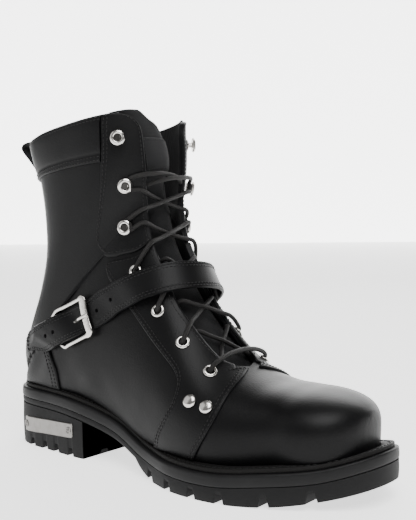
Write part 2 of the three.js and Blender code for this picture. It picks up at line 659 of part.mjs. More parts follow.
// The point of the strap's plane at a share across, shifted by rise along the strap's width.
function onStrap(across, rise, height) {
  const { x, z, slope, tilt, droop } = STRAP_PLANE;
  const through = THREE.MathUtils.smoothstep(-across, 0.36, 0.43) * droop;
  const above = (section) => {
    const { point } = onFace(section, across);
    const level = z * BOOT_HEIGHT + slope * (point.x - x * SOLE_LENGTH) - tilt * point.y - through;
    return (point.z - level) / Math.hypot(1, slope, tilt) - rise;
  };
  let low = 9;
  let high = RIM_ROW;
  for (let k = 0; k < 40; k += 1) {
    const middle = (low + high) / 2;
    if (above(middle) < 0) low = middle;
    else high = middle;
  }
  return onFace((low + high) / 2, across, height);
}

// A spot of the buckle's frame: along is 0 at its front bar and 1 at the hinge bar.
function onBuckle(along, rise, lift) {
  const front = BUCKLE.front + BUCKLE.frontLean * rise;
  const back = BUCKLE.back + BUCKLE.backLean * rise;
  return onStrap(front + (back - front) * along, rise, lift);
}

function addStrap() {
  const tail = STRAP_LIFTS[0][0];
  const halfAt = (across) => (STRAP_WIDTH / 2) * Math.min(1, 0.5 + (across - tail) / 0.04);
  const grid = (extra) => STRAP_LIFTS.map(([across, lift]) =>
    [-1, -0.5, 0, 0.5, 1].map((share) => onStrap(across, share * halfAt(across), lift + extra).point));
  const prong = PRONG.map(([along, lift]) => onBuckle(along, 0, lift));
  const slotSize = PRONG_SIZE.wide + 4 * GAP;
  const slot = swept(prong.slice(2, 7), slotSize, slotSize, 6);
  add("strap", sheet(grid(STRAP_THICKNESS), grid(0)).subtract(slot), LEATHER);
  add("buckle_prong", swept(prong, PRONG_SIZE.wide, PRONG_SIZE.deep, 6), NICKEL);

  const { half, frontLift, backLift, wide, deep, corner } = BUCKLE;
  const turn = half - corner;
  const frame = [[0, -turn], [0, 0], [0, turn], [0.04, half], [0.35, half], [0.65, half], [0.96, half],
    [1, turn], [1, 0], [1, -turn], [0.96, -half], [0.65, -half], [0.35, -half], [0.04, -half]]
    .map(([along, rise]) => onBuckle(along, rise, frontLift + (backLift - frontLift) * along));
  add("buckle_frame", swept(frame, wide * Math.SQRT2, deep * Math.SQRT2, 4, true), NICKEL);
  const chape = (lift) => CHAPE.places.map((across) =>
    [-CHAPE.half, 0, CHAPE.half].map((rise) => onStrap(across, rise, lift).point));
  add("buckle_chape", sheet(chape(GAP + CHAPE.thickness), chape(GAP)), LEATHER);
}

// The pull loop's side view behind the collar, over its rim and down the inside: x is a share of the sole's
// length, z of the boot's height.
const PULL_LOOP = [
  [0.0764, 0.8247], [0.0472, 0.8566], [0.0157, 0.8964], [-0.0079, 0.9243], [-0.0142, 0.9382],
  [-0.0063, 0.9494], [0.0157, 0.9534], [0.0409, 0.9554], [0.066, 0.9562], [0.0802, 0.9482],
  [0.0896, 0.9243], [0.0962, 0.8964], [0.1, 0.8725],
];

function addPullLoop() {
  const path = PULL_LOOP.map(([x, z]) => new THREE.Vector3(x * SOLE_LENGTH, 0, z * BOOT_HEIGHT));
  const rings = path.map((point, i) => {
    const along = path[Math.min(i + 1, path.length - 1)].clone().sub(path[Math.max(i - 1, 0)]).normalize();
    const out = new THREE.Vector3(0, 1, 0).cross(along).multiplyScalar(PULL_LOOP_THICKNESS / 2);
    return [[-1, -1], [-1, 1], [1, 1], [1, -1]].map(([side, face]) =>
      point.clone().addScaledVector(out, face).setY((side * PULL_LOOP_WIDTH) / 2));
  });
  add("pull_loop", loft(rings), CLOTH);
}

function addHardware() {
  const seat = 3 * GAP + OVERLAY;
  const bore = EYELET_BORE / 2;
  const barrel = EYELET_BARREL / 2;
  const flange = EYELET_DIAMETER / 2;
  const cap = HOOK_DIAMETER / 2;
  const dome = RIVET_DIAMETER / 2;
  const eyelet = turned([
    [bore, -1.5], [barrel, -1.5], [barrel, seat], [flange, seat], [flange - 0.7, seat + 0.9],
    [bore, seat + 0.9],
  ], 8);
  const hook = turned([
    [0, seat], [4.2, seat], [4.2, seat + 0.8], [1.9, seat + 1], [1.9, seat + 4.2], [cap, seat + 4.2],
    [cap, seat + 5], [cap - 1.8, seat + 6.2], [1.8, seat + 6.4], [0, seat + 5.4],
  ], 8);
  const rivet = turned([
    [0, seat], [dome, seat], [dome - 0.5, seat + 1], [dome - 2, seat + 1.9], [0, seat + 2.2],
  ], 10);
  for (const [name, sign] of SIDES) {
    const put = (kind, places, solid) => places.forEach(([section, across], i) =>
      add(`${kind}_${name}_${i + 1}`, solid, NICKEL, onFace(section, sign * across)));
    put("eyelet", EYELETS, eyelet);
    put("hook", HOOKS, hook);
    put("rivet", RIVETS, rivet);
  }
}

// The metal plate screwed to the outer side of the heel block. Its low and high edges are [height at the
// back, rise for each millimetre along], and it spans these stations of the sole.
const PLATE = { low: [9, 0.06], high: [21.5, 0.045], stations: [3, 9], proud: 0.5, sunk: 1 };

function addHeelPlate() {
  const wall = (inset) => soleOutline(inset).slice(...PLATE.stations);
  const height = ([start, rise], x) => start + rise * x;
  const face = (inset) => wall(inset).map((p) =>
    [PLATE.low, PLATE.high].map((edge) => new THREE.Vector3(p.x, p.y, height(edge, p.x))));
  add("heel_plate", sheet(face(-PLATE.proud), face(PLATE.sunk - GAP)), NICKEL);
  const screw = turned([[0, 0], [2.6, 0], [2.1, 0.8], [0, 1.1]], 8);
  const outer = wall(-PLATE.proud - GAP);
  [["rear", 0, 0.25], ["front", outer.length - 2, 0.7]].forEach(([end, i, share]) => {
    const along = outer[i + 1].clone().sub(outer[i]);
    const spot = outer[i].clone().addScaledVector(along, share);
    const middle = (height(PLATE.low, spot.x) + height(PLATE.high, spot.x)) / 2;
    add(`heel_plate_screw_${end}`, screw, NICKEL, {
      point: new THREE.Vector3(spot.x, spot.y, middle),
      normal: new THREE.Vector3(along.y, -along.x, 0).normalize(),
    });
  });
}

// The lace. Every run goes from a fastener on one side to a place on the other: section, across, lift. Both
// halves of the lace run as mirror images and meet over the tongue.
const FASTENER_LIFT = 5.9;
const HOOK_LIFT = 4.6;
const TUCKED_LIFT = -0.2;
const LACE_BAR = { section: 9.27, places: [-0.2, -0.15, -0.1, 0, 0.1, 0.15, 0.2] };
const INNER_CROSSING = [[9.35, 0.094, -1], [10.2, -0.12, -1]]; // up to the edges at both ends
const CROSSINGS = [
  // name, start, end
  ["lace_crossing_1", [10.27, 0.219, FASTENER_LIFT], [11, -0.122, TUCKED_LIFT]],
  ["lace_crossing_2", [11.42, 0.25, FASTENER_LIFT], [12.4, -0.122, TUCKED_LIFT]],
  ["lace_crossing_3", [13.03, 0.256, FASTENER_LIFT], [14.6, -0.2, HOOK_LIFT]],
  ["lace_crossing_4", [15.9, 0.205, HOOK_LIFT], [18.6, -0.2, HOOK_LIFT]],
];
// The two ends, from the top hooks that they leave to where they tuck in behind the opposite side, one over
// the other.
const LACE_END_LATERAL = [
  // section, across, lift
  [19.4, -0.222, 4.6], [19.42, -0.2, 5.1], [19.37, -0.175, 5.4], [19.3, -0.15, 5.5],
  [19.22, -0.13, 5.4], [19.14, -0.11, 5], [19.08, -0.09, 4.5], [19.04, -0.07, 3.9],
  [19.01, -0.05, 3.2], [18.97, -0.03, 2.4], [18.93, -0.01, 1.7], [18.88, 0.01, 1],
  [18.84, 0.035, 0.5], [18.81, 0.06, -0.1], [18.78, 0.09, -0.6], [18.75, 0.117, -1.1],
];
const LACE_END_MEDIAL = [
  // section, across, lift
  [19.42, 0.221, 4.6], [19.41, 0.2, 5.1], [19.33, 0.175, 5.4], [19.23, 0.15, 5.5],
  [19.12, 0.13, 5.5], [19.02, 0.11, 5.5], [18.93, 0.09, 5.4], [18.84, 0.07, 5.3],
  [18.77, 0.05, 5.1], [18.7, 0.03, 4.8], [18.65, 0.01, 4.4], [18.6, -0.01, 4],
  [18.55, -0.035, 3.3], [18.52, -0.06, 2.2], [18.51, -0.088, 0.7], [18.5, -0.116, -0.8],
];

// A taut run, bowed a little. It bends over each edge of the throat that it passes on the outside: the near
// one, and the far one where it ends on a hook and doesn't tuck in.
function run(start, end, bow) {
  const clear = OVERLAY + 2 * GAP + LACE_DIAMETER / 2 + LACE_CLEARANCE;
  const brow = (share, sign) => {
    const section = start[0] + (end[0] - start[0]) * share;
    return onFace(section, sign * (curve(column(THROAT, 0), column(THROAT, 1), section) + 0.01), clear);
  };
  const near = onFace(...start);
  const far = onFace(...end);
  const over = brow(0.2, Math.sign(start[1]));
  const tucked = end[2] < 0;
  const last = tucked ? far : brow(0.8, Math.sign(end[1]));
  const path = [near, between(near, over, 0.5, 0.5), over];
  for (const t of [0.25, 0.5, 0.75]) path.push(between(over, last, t, bow * 4 * t * (1 - t)));
  path.push(last);
  return tucked ? path : [...path, between(last, far, 0.5, 0.5), far];
}

function between(a, b, t, bow) {
  const normal = a.normal.clone().lerp(b.normal, t).normalize();
  return { point: a.point.clone().lerp(b.point, t).addScaledVector(normal, bow), normal };
}

const mirrored = ([section, across, lift]) => [section, -across, lift];

function addLace() {
  const tube = (path) => swept(path, LACE_DIAMETER, LACE_DIAMETER, 5);
  const bothWays = (name, path, start, end) =>
    add(name, tube(path(start, end)).add(tube(path(mirrored(start), mirrored(end)))), LACE);
  const bar = LACE_BAR.places.map((across) => onFace(LACE_BAR.section, across, FASTENER_LIFT));
  add("lace_bar", tube(bar), LACE);
  const straight = (start, end) => [0, 0.25, 0.5, 0.75, 1].map((t) =>
    between(onFace(...start), onFace(...end), t, 0));
  bothWays("lace_crossing_inner", straight, ...INNER_CROSSING);
  for (const [name, start, end] of CROSSINGS) bothWays(name, (a, b) => run(a, b, 1), start, end);
  const route = (rows) => rows.map((row) => onFace(...row));
  add("lace_end_lateral", tube(route(LACE_END_LATERAL)), LACE);
  add("lace_end_medial", tube(route(LACE_END_MEDIAL)), LACE);
}

addSole();
addUpper();
addTongue();
addStrap();
addPullLoop();
addHardware();
addHeelPlate();
addLace();

// The whole boot, with its origin under the middle of its box, on the floor.
const box = new THREE.Box3().setFromObject(boot);
const middle = box.getCenter(new THREE.Vector3());
boot.position.set(-middle.x, -middle.y, -box.min.z);
const root = new THREE.Group();
root.add(boot);

export default root;
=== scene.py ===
import bmesh
import bpy
import numpy as np
from bpy.props import FloatProperty, FloatVectorProperty, PointerProperty
from bpy.types import Operator, Panel, PropertyGroup
from mathutils import Matrix, Vector


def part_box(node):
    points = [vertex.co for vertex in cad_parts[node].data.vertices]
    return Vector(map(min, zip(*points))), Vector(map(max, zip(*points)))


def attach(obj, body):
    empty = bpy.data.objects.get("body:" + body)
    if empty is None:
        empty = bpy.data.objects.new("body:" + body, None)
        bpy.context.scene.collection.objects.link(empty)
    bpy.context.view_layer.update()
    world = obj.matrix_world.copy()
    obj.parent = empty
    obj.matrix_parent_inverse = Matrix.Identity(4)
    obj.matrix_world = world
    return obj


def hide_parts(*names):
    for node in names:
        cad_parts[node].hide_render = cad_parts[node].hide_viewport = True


bl_info = {
    "name": "Motorcycle boot",
    "version": (1, 0, 0),
    "blender": (4, 5, 0),
    "location": "3D View > Sidebar > Boot",
    "description": "Builds a black leather lace-up motorcycle boot piece by piece",
    "category": "Add Mesh",
}

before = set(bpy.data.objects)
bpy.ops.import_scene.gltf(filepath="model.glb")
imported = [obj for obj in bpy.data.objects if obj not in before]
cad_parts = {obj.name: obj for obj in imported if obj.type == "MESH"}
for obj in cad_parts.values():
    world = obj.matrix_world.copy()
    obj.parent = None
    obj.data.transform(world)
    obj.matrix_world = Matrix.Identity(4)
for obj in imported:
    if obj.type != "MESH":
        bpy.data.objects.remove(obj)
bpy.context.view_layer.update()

# Driving sizes, the same as those of the solids.
SOLE_LENGTH = 0.318
BALL_WIDTH = 0.1064
HEEL_LIFT = 0.045
BOOT_HEIGHT = 0.251
TOE_SPRING = 0.014
GAP = 0.0003
WALL = 0.0024
OVERLAY = 0.0015
MIDSOLE_THICKNESS = 0.008
SHANK_THICKNESS = 0.0045
WELT_THICKNESS = 0.003
WELT_INSET = 0.003
INSOLE_THICKNESS = 0.0035
INSOLE_INSET = 0.018
HEEL_LENGTH = 0.095
STRAP_WIDTH = 0.0216
STRAP_THICKNESS = 0.0022
LACE_DIAMETER = 0.0032
EYELET_DIAMETER = 0.0096
EYELET_BORE = 0.0044
EYELET_BARREL = 0.0058
HOOK_DIAMETER = 0.011
RIVET_DIAMETER = 0.009
TONGUE_THICKNESS = 0.0045
TONGUE_EDGE = 0.0012
TONGUE_RISE = 0.005
TONGUE_ROUNDING = 0.003

# The back of the heel, on the floor and in the middle of the shaft.
ORIGIN = np.array([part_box("midsole")[0].x, (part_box("pull_loop")[0].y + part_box("pull_loop")[1].y) / 2, 0.0])

# The sole: along, centre, half and top, as shares of its length, the ball width and the heel lift.
SOLE = np.array([
    [0, 0, 0.348, 1],
    [0.142, 0, 0.348, 0.989],
    [0.267, -0.009, 0.363, 0.933],
    [0.393, -0.002, 0.359, 0.733],
    [0.503, -0.014, 0.409, 0.467],
    [0.613, -0.042, 0.493, 0.404],
    [0.723, -0.026, 0.515, 0.407],
    [0.824, 0.022, 0.471, 0.478],
    [0.912, 0.07, 0.432, 0.56],
    [1, 0.08, 0.4, 0.75],
])

# The upper's sections, each from its low end to the ridge: low x, low z (-1 on the sole), high x, high z,
# outer and inner half width, place of the widest point, share of the half width at the foot, exponent of
# the top, and the shifts of the low and high end.
UPPER = np.array([
    [0.805, -1, 0.805, 0.263, 0.404, 0.414, 0.38, 0.9, 2.5, 0.056, 0.066],
    [0.748, -1, 0.742, 0.273, 0.446, 0.432, 0.36, 0.92, 2.4, 0.028, 0.047],
    [0.676, -1, 0.667, 0.307, 0.479, 0.432, 0.32, 0.92, 2.2, 0, 0.028],
    [0.585, -1, 0.601, 0.394, 0.456, 0.404, 0.28, 0.9, 2.1, -0.009, 0.009],
    [0.487, -1, 0.547, 0.494, 0.404, 0.367, 0.27, 0.88, 2.1, -0.009, 0],
    [0.377, -1, 0.513, 0.582, 0.367, 0.357, 0.28, 0.86, 2.15, 0, 0],
    [0.258, -1, 0.491, 0.645, 0.357, 0.357, 0.3, 0.84, 2.2, 0, 0],
    [0.138, -1, 0.478, 0.697, 0.357, 0.357, 0.33, 0.8, 2.3, 0, 0],
    [0.05, -1, 0.472, 0.741, 0.363, 0.363, 0.36, 0.62, 2.4, 0, 0],
    [0.03, -1, 0.47, 0.751, 0.3638, 0.3638, 0.37, 0.34, 2.45, 0, 0],
    [0.024, -1, 0.469, 0.757, 0.3645, 0.3645, 0.38, 0, 2.45, 0, 0],
    [0.019, 0.267, 0.465, 0.789, 0.373, 0.373, 0.41, 0, 2.5, 0, 0],
    [0.072, 0.418, 0.462, 0.829, 0.384, 0.389, 0.45, 0, 2.6, 0, 0],
    [0.104, 0.55, 0.459, 0.869, 0.395, 0.399, 0.48, 0, 2.7, 0, 0],
    [0.105, 0.677, 0.456, 0.908, 0.404, 0.409, 0.5, 0, 2.8, 0, 0],
    [0.091, 0.801, 0.453, 0.952, 0.414, 0.418, 0.5, 0, 2.8, 0, 0],
    [0.063, 0.928, 0.45, 1, 0.432, 0.437, 0.5, 0, 2.8, 0, 0],
])
TIP_X, TIP_Z, TIP_PLAN, TIP_RIDGE, TIP_WIDEST = 0.959, 0.199, 2.3, 2.4, 0.62
TOE_TURNS = np.radians([2.5, 9, 18, 30, 43, 57, 72])
FOOT_ROUND = 2.2
BACK_ROW = len(TOE_TURNS) + 10
RIM_ROW = len(TOE_TURNS) + len(UPPER) - 1

# Places on the upper: a section, and a share of the way from the ridge down to the sole.
EYELETS = [(9.27, 0.2), (10.27, 0.219), (11.42, 0.25), (13.03, 0.256)]
HOOKS = [(15.43, 0.225), (19.19, 0.231), (21.75, 0.25)]
RIVETS = [(8.87, 0.356), (9.37, 0.369)]
THROAT = np.array([
    [8.85, 0], [9.05, 0.07], [9.4, 0.105], [10.3, 0.13], [11, 0.15], [13, 0.15], [14.8, 0.137],
    [18.5, 0.125], [21.6, 0.12], [22.2, 0.127], [22.6, 0.15], [22.85, 0.185], [RIM_ROW, 0.23],
])


# The boot's own curves.


def curve(places, values, at):
    """A smooth curve through (places, values): cubic pieces whose slope at each place is that between its
    two neighbours."""
    places, values = np.asarray(places, float), np.asarray(values, float)
    last = len(places) - 1
    x = np.clip(np.asarray(at, float), places[0], places[-1])
    i = np.clip(np.searchsorted(places, x, side="left") - 1, 0, last - 1)
    before, after = np.maximum(np.arange(last + 1) - 1, 0), np.minimum(np.arange(last + 1) + 1, last)
    slope = (values[after] - values[before]) / (places[after] - places[before])
    span = places[i + 1] - places[i]
    t = (x - places[i]) / span
    t2, t3 = t * t, t * t * t
    return (values[i] * (2 * t3 - 3 * t2 + 1) + values[i + 1] * (3 * t2 - 2 * t3)
            + span * (slope[i] * (t3 - 2 * t2 + t) + slope[i + 1] * (t3 - t2)))


def sole_centre(x):
    """How far the sole's middle line lies to the inner side at x."""
    return BALL_WIDTH * curve(SOLE[:, 0] * SOLE_LENGTH, SOLE[:, 1], x)


def sole_half(x):
    """Half the sole's width at x: the table's curve times superellipse ends at the heel and the toe."""
    heel = np.clip((0.142 * SOLE_LENGTH - x) / (0.142 * SOLE_LENGTH), 0, 1)
    toe = np.clip((x - 0.786 * SOLE_LENGTH) / (0.214 * SOLE_LENGTH), 0, 1)
    ends = (1 - heel ** 2.4) ** (1 / 2.4) * (1 - toe ** 2.3) ** (1 / 2.3)
    return BALL_WIDTH * curve(SOLE[:, 0] * SOLE_LENGTH, SOLE[:, 2], x) * ends


def midsole_top(x):
    """The height of the midsole's top at x."""
    return HEEL_LIFT * curve(SOLE[:, 0] * SOLE_LENGTH, SOLE[:, 3], x)


def shank_bottom(x):
    """The height of the underside of the outsole's thin shank at x."""
    return midsole_top(x) - MIDSOLE_THICKNESS - GAP - SHANK_THICKNESS


def tread_bottom(x):
    """The tread's underside: off the floor under the arch, flat under the ball, rising as a parabola."""
    start, flat, rise = 0.47 * SOLE_LENGTH, 0.545 * SOLE_LENGTH, 0.75 * SOLE_LENGTH
    arch = shank_bottom(x) * np.clip((flat - x) / (flat - start), 0, 1) ** 1.5
    toe = TOE_SPRING * (np.maximum(x - rise, 0) / (SOLE_LENGTH - rise)) ** 2
    return np.where(x < start, shank_bottom(x), np.where(x < flat, arch, toe))


def upper_rows():
    """The sections in metres, those round the toe worked out from the first one in the table."""
    x = UPPER[:, 0] * SOLE_LENGTH
    rows = UPPER * [SOLE_LENGTH, BOOT_HEIGHT, SOLE_LENGTH, BOOT_HEIGHT, BALL_WIDTH, BALL_WIDTH, 1, 1, 1,
                    BALL_WIDTH, BALL_WIDTH]
    rows[:, 1] = np.where(UPPER[:, 1] < 0, midsole_top(x) + GAP, rows[:, 1])
    first = rows[0]
    reach = np.cos(TOE_TURNS)
    x = first[0] + (TIP_X * SOLE_LENGTH - first[0]) * reach
    plan = (1 - reach ** TIP_PLAN) ** (1 / TIP_PLAN)
    ridge = (1 - reach ** TIP_RIDGE) ** (1 / TIP_RIDGE)
    tip_z = TIP_Z * BOOT_HEIGHT
    toe = np.stack([
        x, midsole_top(x) + GAP, x, tip_z + (first[3] - tip_z) * ridge, first[4] * plan, first[5] * plan,
        first[6] + (TIP_WIDEST - first[6]) * (1 - ridge), first[7] + (1 - first[7]) * (1 - plan),
        2 + (first[8] - 2) * ridge, np.full_like(x, first[9]), np.full_like(x, first[10]),
    ], axis=1)
    return np.concatenate([toe, rows])


ROWS = upper_rows()
ROW_PLACES = np.arange(len(ROWS))


def face_point(section, across):
    """A point of the upper's outer face. Each section is a line from the sole to the ridge, and its half
    width follows one superellipse below the widest point and another above it."""
    section, across = np.broadcast_arrays(np.asarray(section, float), np.asarray(across, float))
    low_x, low_z, high_x, high_z, outer, inner, widest, foot, top, low, high = (
        curve(ROW_PLACES, ROWS[:, k], section) for k in range(11))
    foot = np.clip(foot, 0, 0.999)
    half = np.where(across < 0, outer, inner)
    climb = 1 - np.abs(across)
    depth = widest / (1 - foot ** FOOT_ROUND) ** (1 / FOOT_ROUND)
    start = np.arcsin(np.minimum(1, (widest / depth) ** (FOOT_ROUND / 2)))
    under = start * (1 - 2 * np.clip(climb, 0, 0.5))
    over = np.pi / 2 * (2 * np.clip(climb, 0.5, 1) - 1)
    share = np.where(climb < 0.5, widest - depth * np.sin(under) ** (2 / FOOT_ROUND),
                     widest + (1 - widest) * np.sin(over) ** (2 / top))
    width = half * np.where(climb < 0.5, np.maximum(np.cos(under), 0) ** (2 / FOOT_ROUND),
                            np.maximum(np.cos(over), 0) ** (2 / top))
    return np.stack([low_x + (high_x - low_x) * share,
                     low + (high - low) * share + np.sign(across) * width,
                     low_z + (high_z - low_z) * share], axis=-1)


def unit(v):
    return v / np.maximum(np.linalg.norm(v, axis=-1, keepdims=True), 1e-12)


def run_length(points):
    """The length run along a path at each of its points, from 0."""
    return np.concatenate([[0], np.cumsum(np.linalg.norm(np.diff(points, axis=0), axis=1))])


def columns_at(places, values, at, read=np.interp):
    """Every column of values read at the places of at."""
    if read is np.interp:
        return np.stack([np.interp(at, places, column) for column in values.T], axis=1)
    return np.stack([read(places, column, at) for column in values.T], axis=1)


def round_edge(near, least=0.5):
    """A rounded edge's share of the full thickness, by the share of the way in: a quarter circle that starts
    from least."""
    return least + (1 - least) * np.sqrt(np.clip(1 - (1 - np.minimum(near, 1)) ** 2, 0, 1))


def add_object(name, data):
    made = bpy.data.objects.new(name, data)
    bpy.context.scene.collection.objects.link(made)
    return made


def slope_normal(section, across):
    """The normal from the slopes along and across the face at one place."""
    step = 0.02
    along = (face_point(np.clip(section + step, 0, RIM_ROW), across)
             - face_point(np.clip(section - step, 0, RIM_ROW), across))
    sideways = (face_point(section, np.clip(across + step, -1, 1))
                - face_point(section, np.clip(across - step, -1, 1)))
    return unit(np.cross(sideways, along))


def face_normal(section, across):
    """The outward direction, shared by both sides where they meet at the back."""
    section, across = np.broadcast_arrays(np.asarray(section, float), np.asarray(across, float))
    normal = slope_normal(section, across)
    both = unit(normal + slope_normal(section, -across))
    closed = (np.abs(across) > 0.999) & (section >= BACK_ROW - 0.01)
    return np.where(closed[..., None], both, normal)


def on_face(section, across, height=0.0):
    """Points that stand height above the upper's face."""
    section, across, height = np.broadcast_arrays(
        np.asarray(section, float), np.asarray(across, float), np.asarray(height, float))
    return face_point(section, across) + face_normal(section, across) * height[..., None]


def throat_half(section):
    """The share of the way down from the ridge to the throat's edge."""
    return np.where(section <= THROAT[0, 0], 0, curve(THROAT[:, 0], THROAT[:, 1], section))


def side_view(points):
    """Where the boot's side view shows points: x and z."""
    return points[..., [0, 2]]


def heel_view(points):
    """Points as an angle round the heel's upright axis, times the heel's radius, and their height."""
    axis, radius = 0.14 * SOLE_LENGTH, 0.04
    angle = np.arctan2(np.abs(points[..., 1]), axis - points[..., 0])
    return np.stack([radius * angle, points[..., 2]], axis=-1)


def locate(targets, view=side_view, sign=-1):
    """The (section, share down from the ridge) of points that a view shows at the targets: the nearest of a
    grid of samples, then damped least-squares steps."""
    targets = np.asarray(targets, float).reshape(-1, 2)
    sections, shares = np.meshgrid(
        np.linspace(0, RIM_ROW, 231), np.linspace(0.005, 0.995, 67), indexing="ij")
    samples = view(face_point(sections, sign * shares)).reshape(-1, 2)
    nearest = ((samples[None] - targets[:, None]) ** 2).sum(axis=2).argmin(axis=1)
    s, a = sections.ravel()[nearest], shares.ravel()[nearest]
    damping = np.full(len(s), 1e-6)
    error = targets - view(face_point(s, sign * a))
    for attempt in range(30):
        ds = (view(face_point(s + 0.005, sign * a)) - view(face_point(s - 0.005, sign * a))) / 0.01
        da = view(face_point(s, sign * (a + 0.001))) - view(face_point(s, sign * (a - 0.001)))
        da = da / 0.002
        ss, aa, sa = (ds ** 2).sum(1) + damping, (da ** 2).sum(1) + damping, (ds * da).sum(1)
        se, ae = (ds * error).sum(1), (da * error).sum(1)
        det = ss * aa - sa * sa
        new_s = np.clip(s + np.clip((se * aa - sa * ae) / det, -0.5, 0.5), 0, RIM_ROW)
        new_a = np.clip(a + np.clip((ss * ae - sa * se) / det, -0.05, 0.05), 0.004, 0.999)
        new_error = targets - view(face_point(new_s, sign * new_a))
        better = (new_error ** 2).sum(1) < (error ** 2).sum(1)
        s, a = np.where(better, new_s, s), np.where(better, new_a, a)
        error = np.where(better[:, None], new_error, error)
        damping = np.where(better, damping * 0.3, damping * 6)
    return np.stack([s, a], axis=1)


def crossing(above, low, high):
    """The section in low..high where above(section) passes from below 0 to over it, by halving."""
    for halving in range(36):
        middle = (low + high) / 2
        under = above(middle) < 0
        low, high = np.where(under, middle, low), np.where(under, high, middle)
    return (low + high) / 2


# Meshes from whole arrays.


def grid_quads(rows, columns, start=0):
    """Quads between the points of a grid, the columns running fastest."""
    i = start + np.arange((rows - 1) * columns).reshape(rows - 1, columns)[:, :-1].ravel()
    return np.stack([i, i + 1, i + columns + 1, i + columns], axis=1)


def ring_quads(rows, columns, start=0):
    """Quads between closed rings of points."""
    i = np.arange(rows - 1)[:, None] * columns + np.arange(columns)[None]
    j = np.arange(rows - 1)[:, None] * columns + (np.arange(columns)[None] + 1) % columns
    return start + np.stack([i, j, j + columns, i + columns], axis=-1).reshape(-1, 4)


class Shape:
    """Points and quads that are gathered into one mesh. Each part may have its own material number."""

    def __init__(self):
        self.points, self.quads, self.looks, self.uvs = [], [], [], []
        self.count = 0

    def add(self, points, quads, look=0, uv=None):
        points = np.asarray(points, float).reshape(-1, 3)
        quads = np.asarray(quads).reshape(-1, 4)
        self.points.append(points)
        self.quads.append(quads + self.count)
        self.looks.append(np.full(len(quads), look))
        self.uvs.append(np.zeros((len(points), 2)) if uv is None else np.asarray(uv, float).reshape(-1, 2))
        self.count += len(points)

    def sheet(self, front, back):
        """A closed sheet between two grids of points, with strips of faces round its four edges."""
        rows, columns = front.shape[:2]
        size = rows * columns
        quads = grid_quads(rows, columns)
        index = np.arange(size).reshape(rows, columns)
        rim = np.concatenate([index[0, :-1], index[:-1, -1], index[-1, :0:-1], index[:0:-1, 0]])
        after = np.roll(rim, -1)
        self.add(np.concatenate([front.reshape(-1, 3), back.reshape(-1, 3)]),
                 np.concatenate([quads, quads[:, ::-1] + size,
                                 np.stack([after, rim, rim + size, after + size], axis=1)]))

    def build(self, name, materials, nodes=(), smooth=50):
        """One object from the gathered parts: doubles merged, faces turned outward, sharp past an angle."""
        points = np.concatenate(self.points) + ORIGIN
        quads = np.concatenate(self.quads)
        mesh = bpy.data.meshes.new(name)
        mesh.vertices.add(len(points))
        mesh.vertices.foreach_set("co", points.astype(np.float32).ravel())
        mesh.loops.add(quads.size)
        mesh.loops.foreach_set("vertex_index", quads.astype(np.int32).ravel())
        mesh.polygons.add(len(quads))
        mesh.polygons.foreach_set("loop_start", np.arange(0, quads.size, 4, dtype=np.int32))
        mesh.polygons.foreach_set("material_index", np.concatenate(self.looks).astype(np.int32))
        layer = mesh.uv_layers.new(name="UVMap")
        layer.data.foreach_set("uv", np.concatenate(self.uvs)[quads.ravel()].astype(np.float32).ravel())
        mesh.update(calc_edges=True)
        clean(mesh)
        mesh.shade_smooth()
        mesh.set_sharp_from_angle(angle=np.radians(smooth))
        for material in materials:
            mesh.materials.append(material)
        piece = add_object(name, mesh)
        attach(piece, "root")
        if nodes:
            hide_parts(*nodes)
        return piece


WELD = 0.00002


def clean(mesh):
    """Merges doubles, drops faces with no area and turns every face outward."""
    work = bmesh.new()
    work.from_mesh(mesh)
    bmesh.ops.remove_doubles(work, verts=work.verts, dist=WELD)
    bmesh.ops.dissolve_degenerate(work, dist=WELD / 2, edges=work.edges)
    bmesh.ops.recalc_face_normals(work, faces=work.faces)
    work.to_mesh(mesh)
    work.free()
    mesh.update()


def smooth_path(points, count):
    """count points at even steps along a smooth curve through the given ones."""
    points = np.asarray(points, float)
    length = run_length(points)
    fine = columns_at(length, points, np.linspace(0, length[-1], 12 * len(points)), curve)
    run = run_length(fine)
    return columns_at(run, fine, np.linspace(0, run[-1], count))


def path_frames(path, ups=None, looped=False):
    """The direction, side and up at each point of a path. Without ups, the frame is carried along it with
    no twist."""
    if looped:
        along = unit(np.roll(path, -1, axis=0) - np.roll(path, 1, axis=0))
    else:
        along = unit(np.gradient(path, axis=0))
    if ups is None:
        ups = np.zeros_like(path)
        start = np.array([0, 0, 1.0]) if abs(along[0, 2]) < 0.9 else np.array([1.0, 0, 0])
        up = unit(start - along[0] * start.dot(along[0]))
        for i, direction in enumerate(along):
            up = unit(up - direction * up.dot(direction))
            ups[i] = up
    side = unit(np.cross(along, ups))
    return along, side, np.cross(side, along)


def oval(turn, power):
    """The unit superellipse of this power at each turn."""
    c, s = np.cos(turn), np.sin(turn)
    return np.sign(c) * np.abs(c) ** (2 / power), np.sign(s) * np.abs(s) ** (2 / power)


def tube(shape, path, wide, deep, sides, ups=None, look=0, round_ends=True, power=2):
    """An oval cord carried along a path: each ring is wide across and deep along the up direction. Its ends
    close as half ovals. The UV map runs round it and along it in metres."""
    along, side, up = path_frames(path, ups)
    turn = 2 * np.pi * np.arange(sides) / sides
    c, s = oval(turn, power)
    ring = side[:, None] * (wide / 2 * c)[None, :, None] + up[:, None] * (deep / 2 * s)[None, :, None]
    run = run_length(path)
    caps = np.radians([90, 68, 45, 22]) if round_ends else np.radians([90])
    reach = min(wide, deep) / 2 if round_ends else 0
    head = [path[0] - along[0] * reach * np.sin(a) + ring[0] * np.cos(a) for a in caps]
    tail = [path[-1] + along[-1] * reach * np.sin(a) + ring[-1] * np.cos(a) for a in caps[::-1]]
    points = np.stack([*head, *(path[:, None] + ring), *tail])
    run = np.concatenate([run[0] - reach * np.sin(caps), run, run[-1] + reach * np.sin(caps[::-1])])
    uv = np.stack(np.broadcast_arrays(turn[None] / (2 * np.pi), run[:, None]), axis=-1)
    shape.add(points, ring_quads(len(points), sides), look, uv)


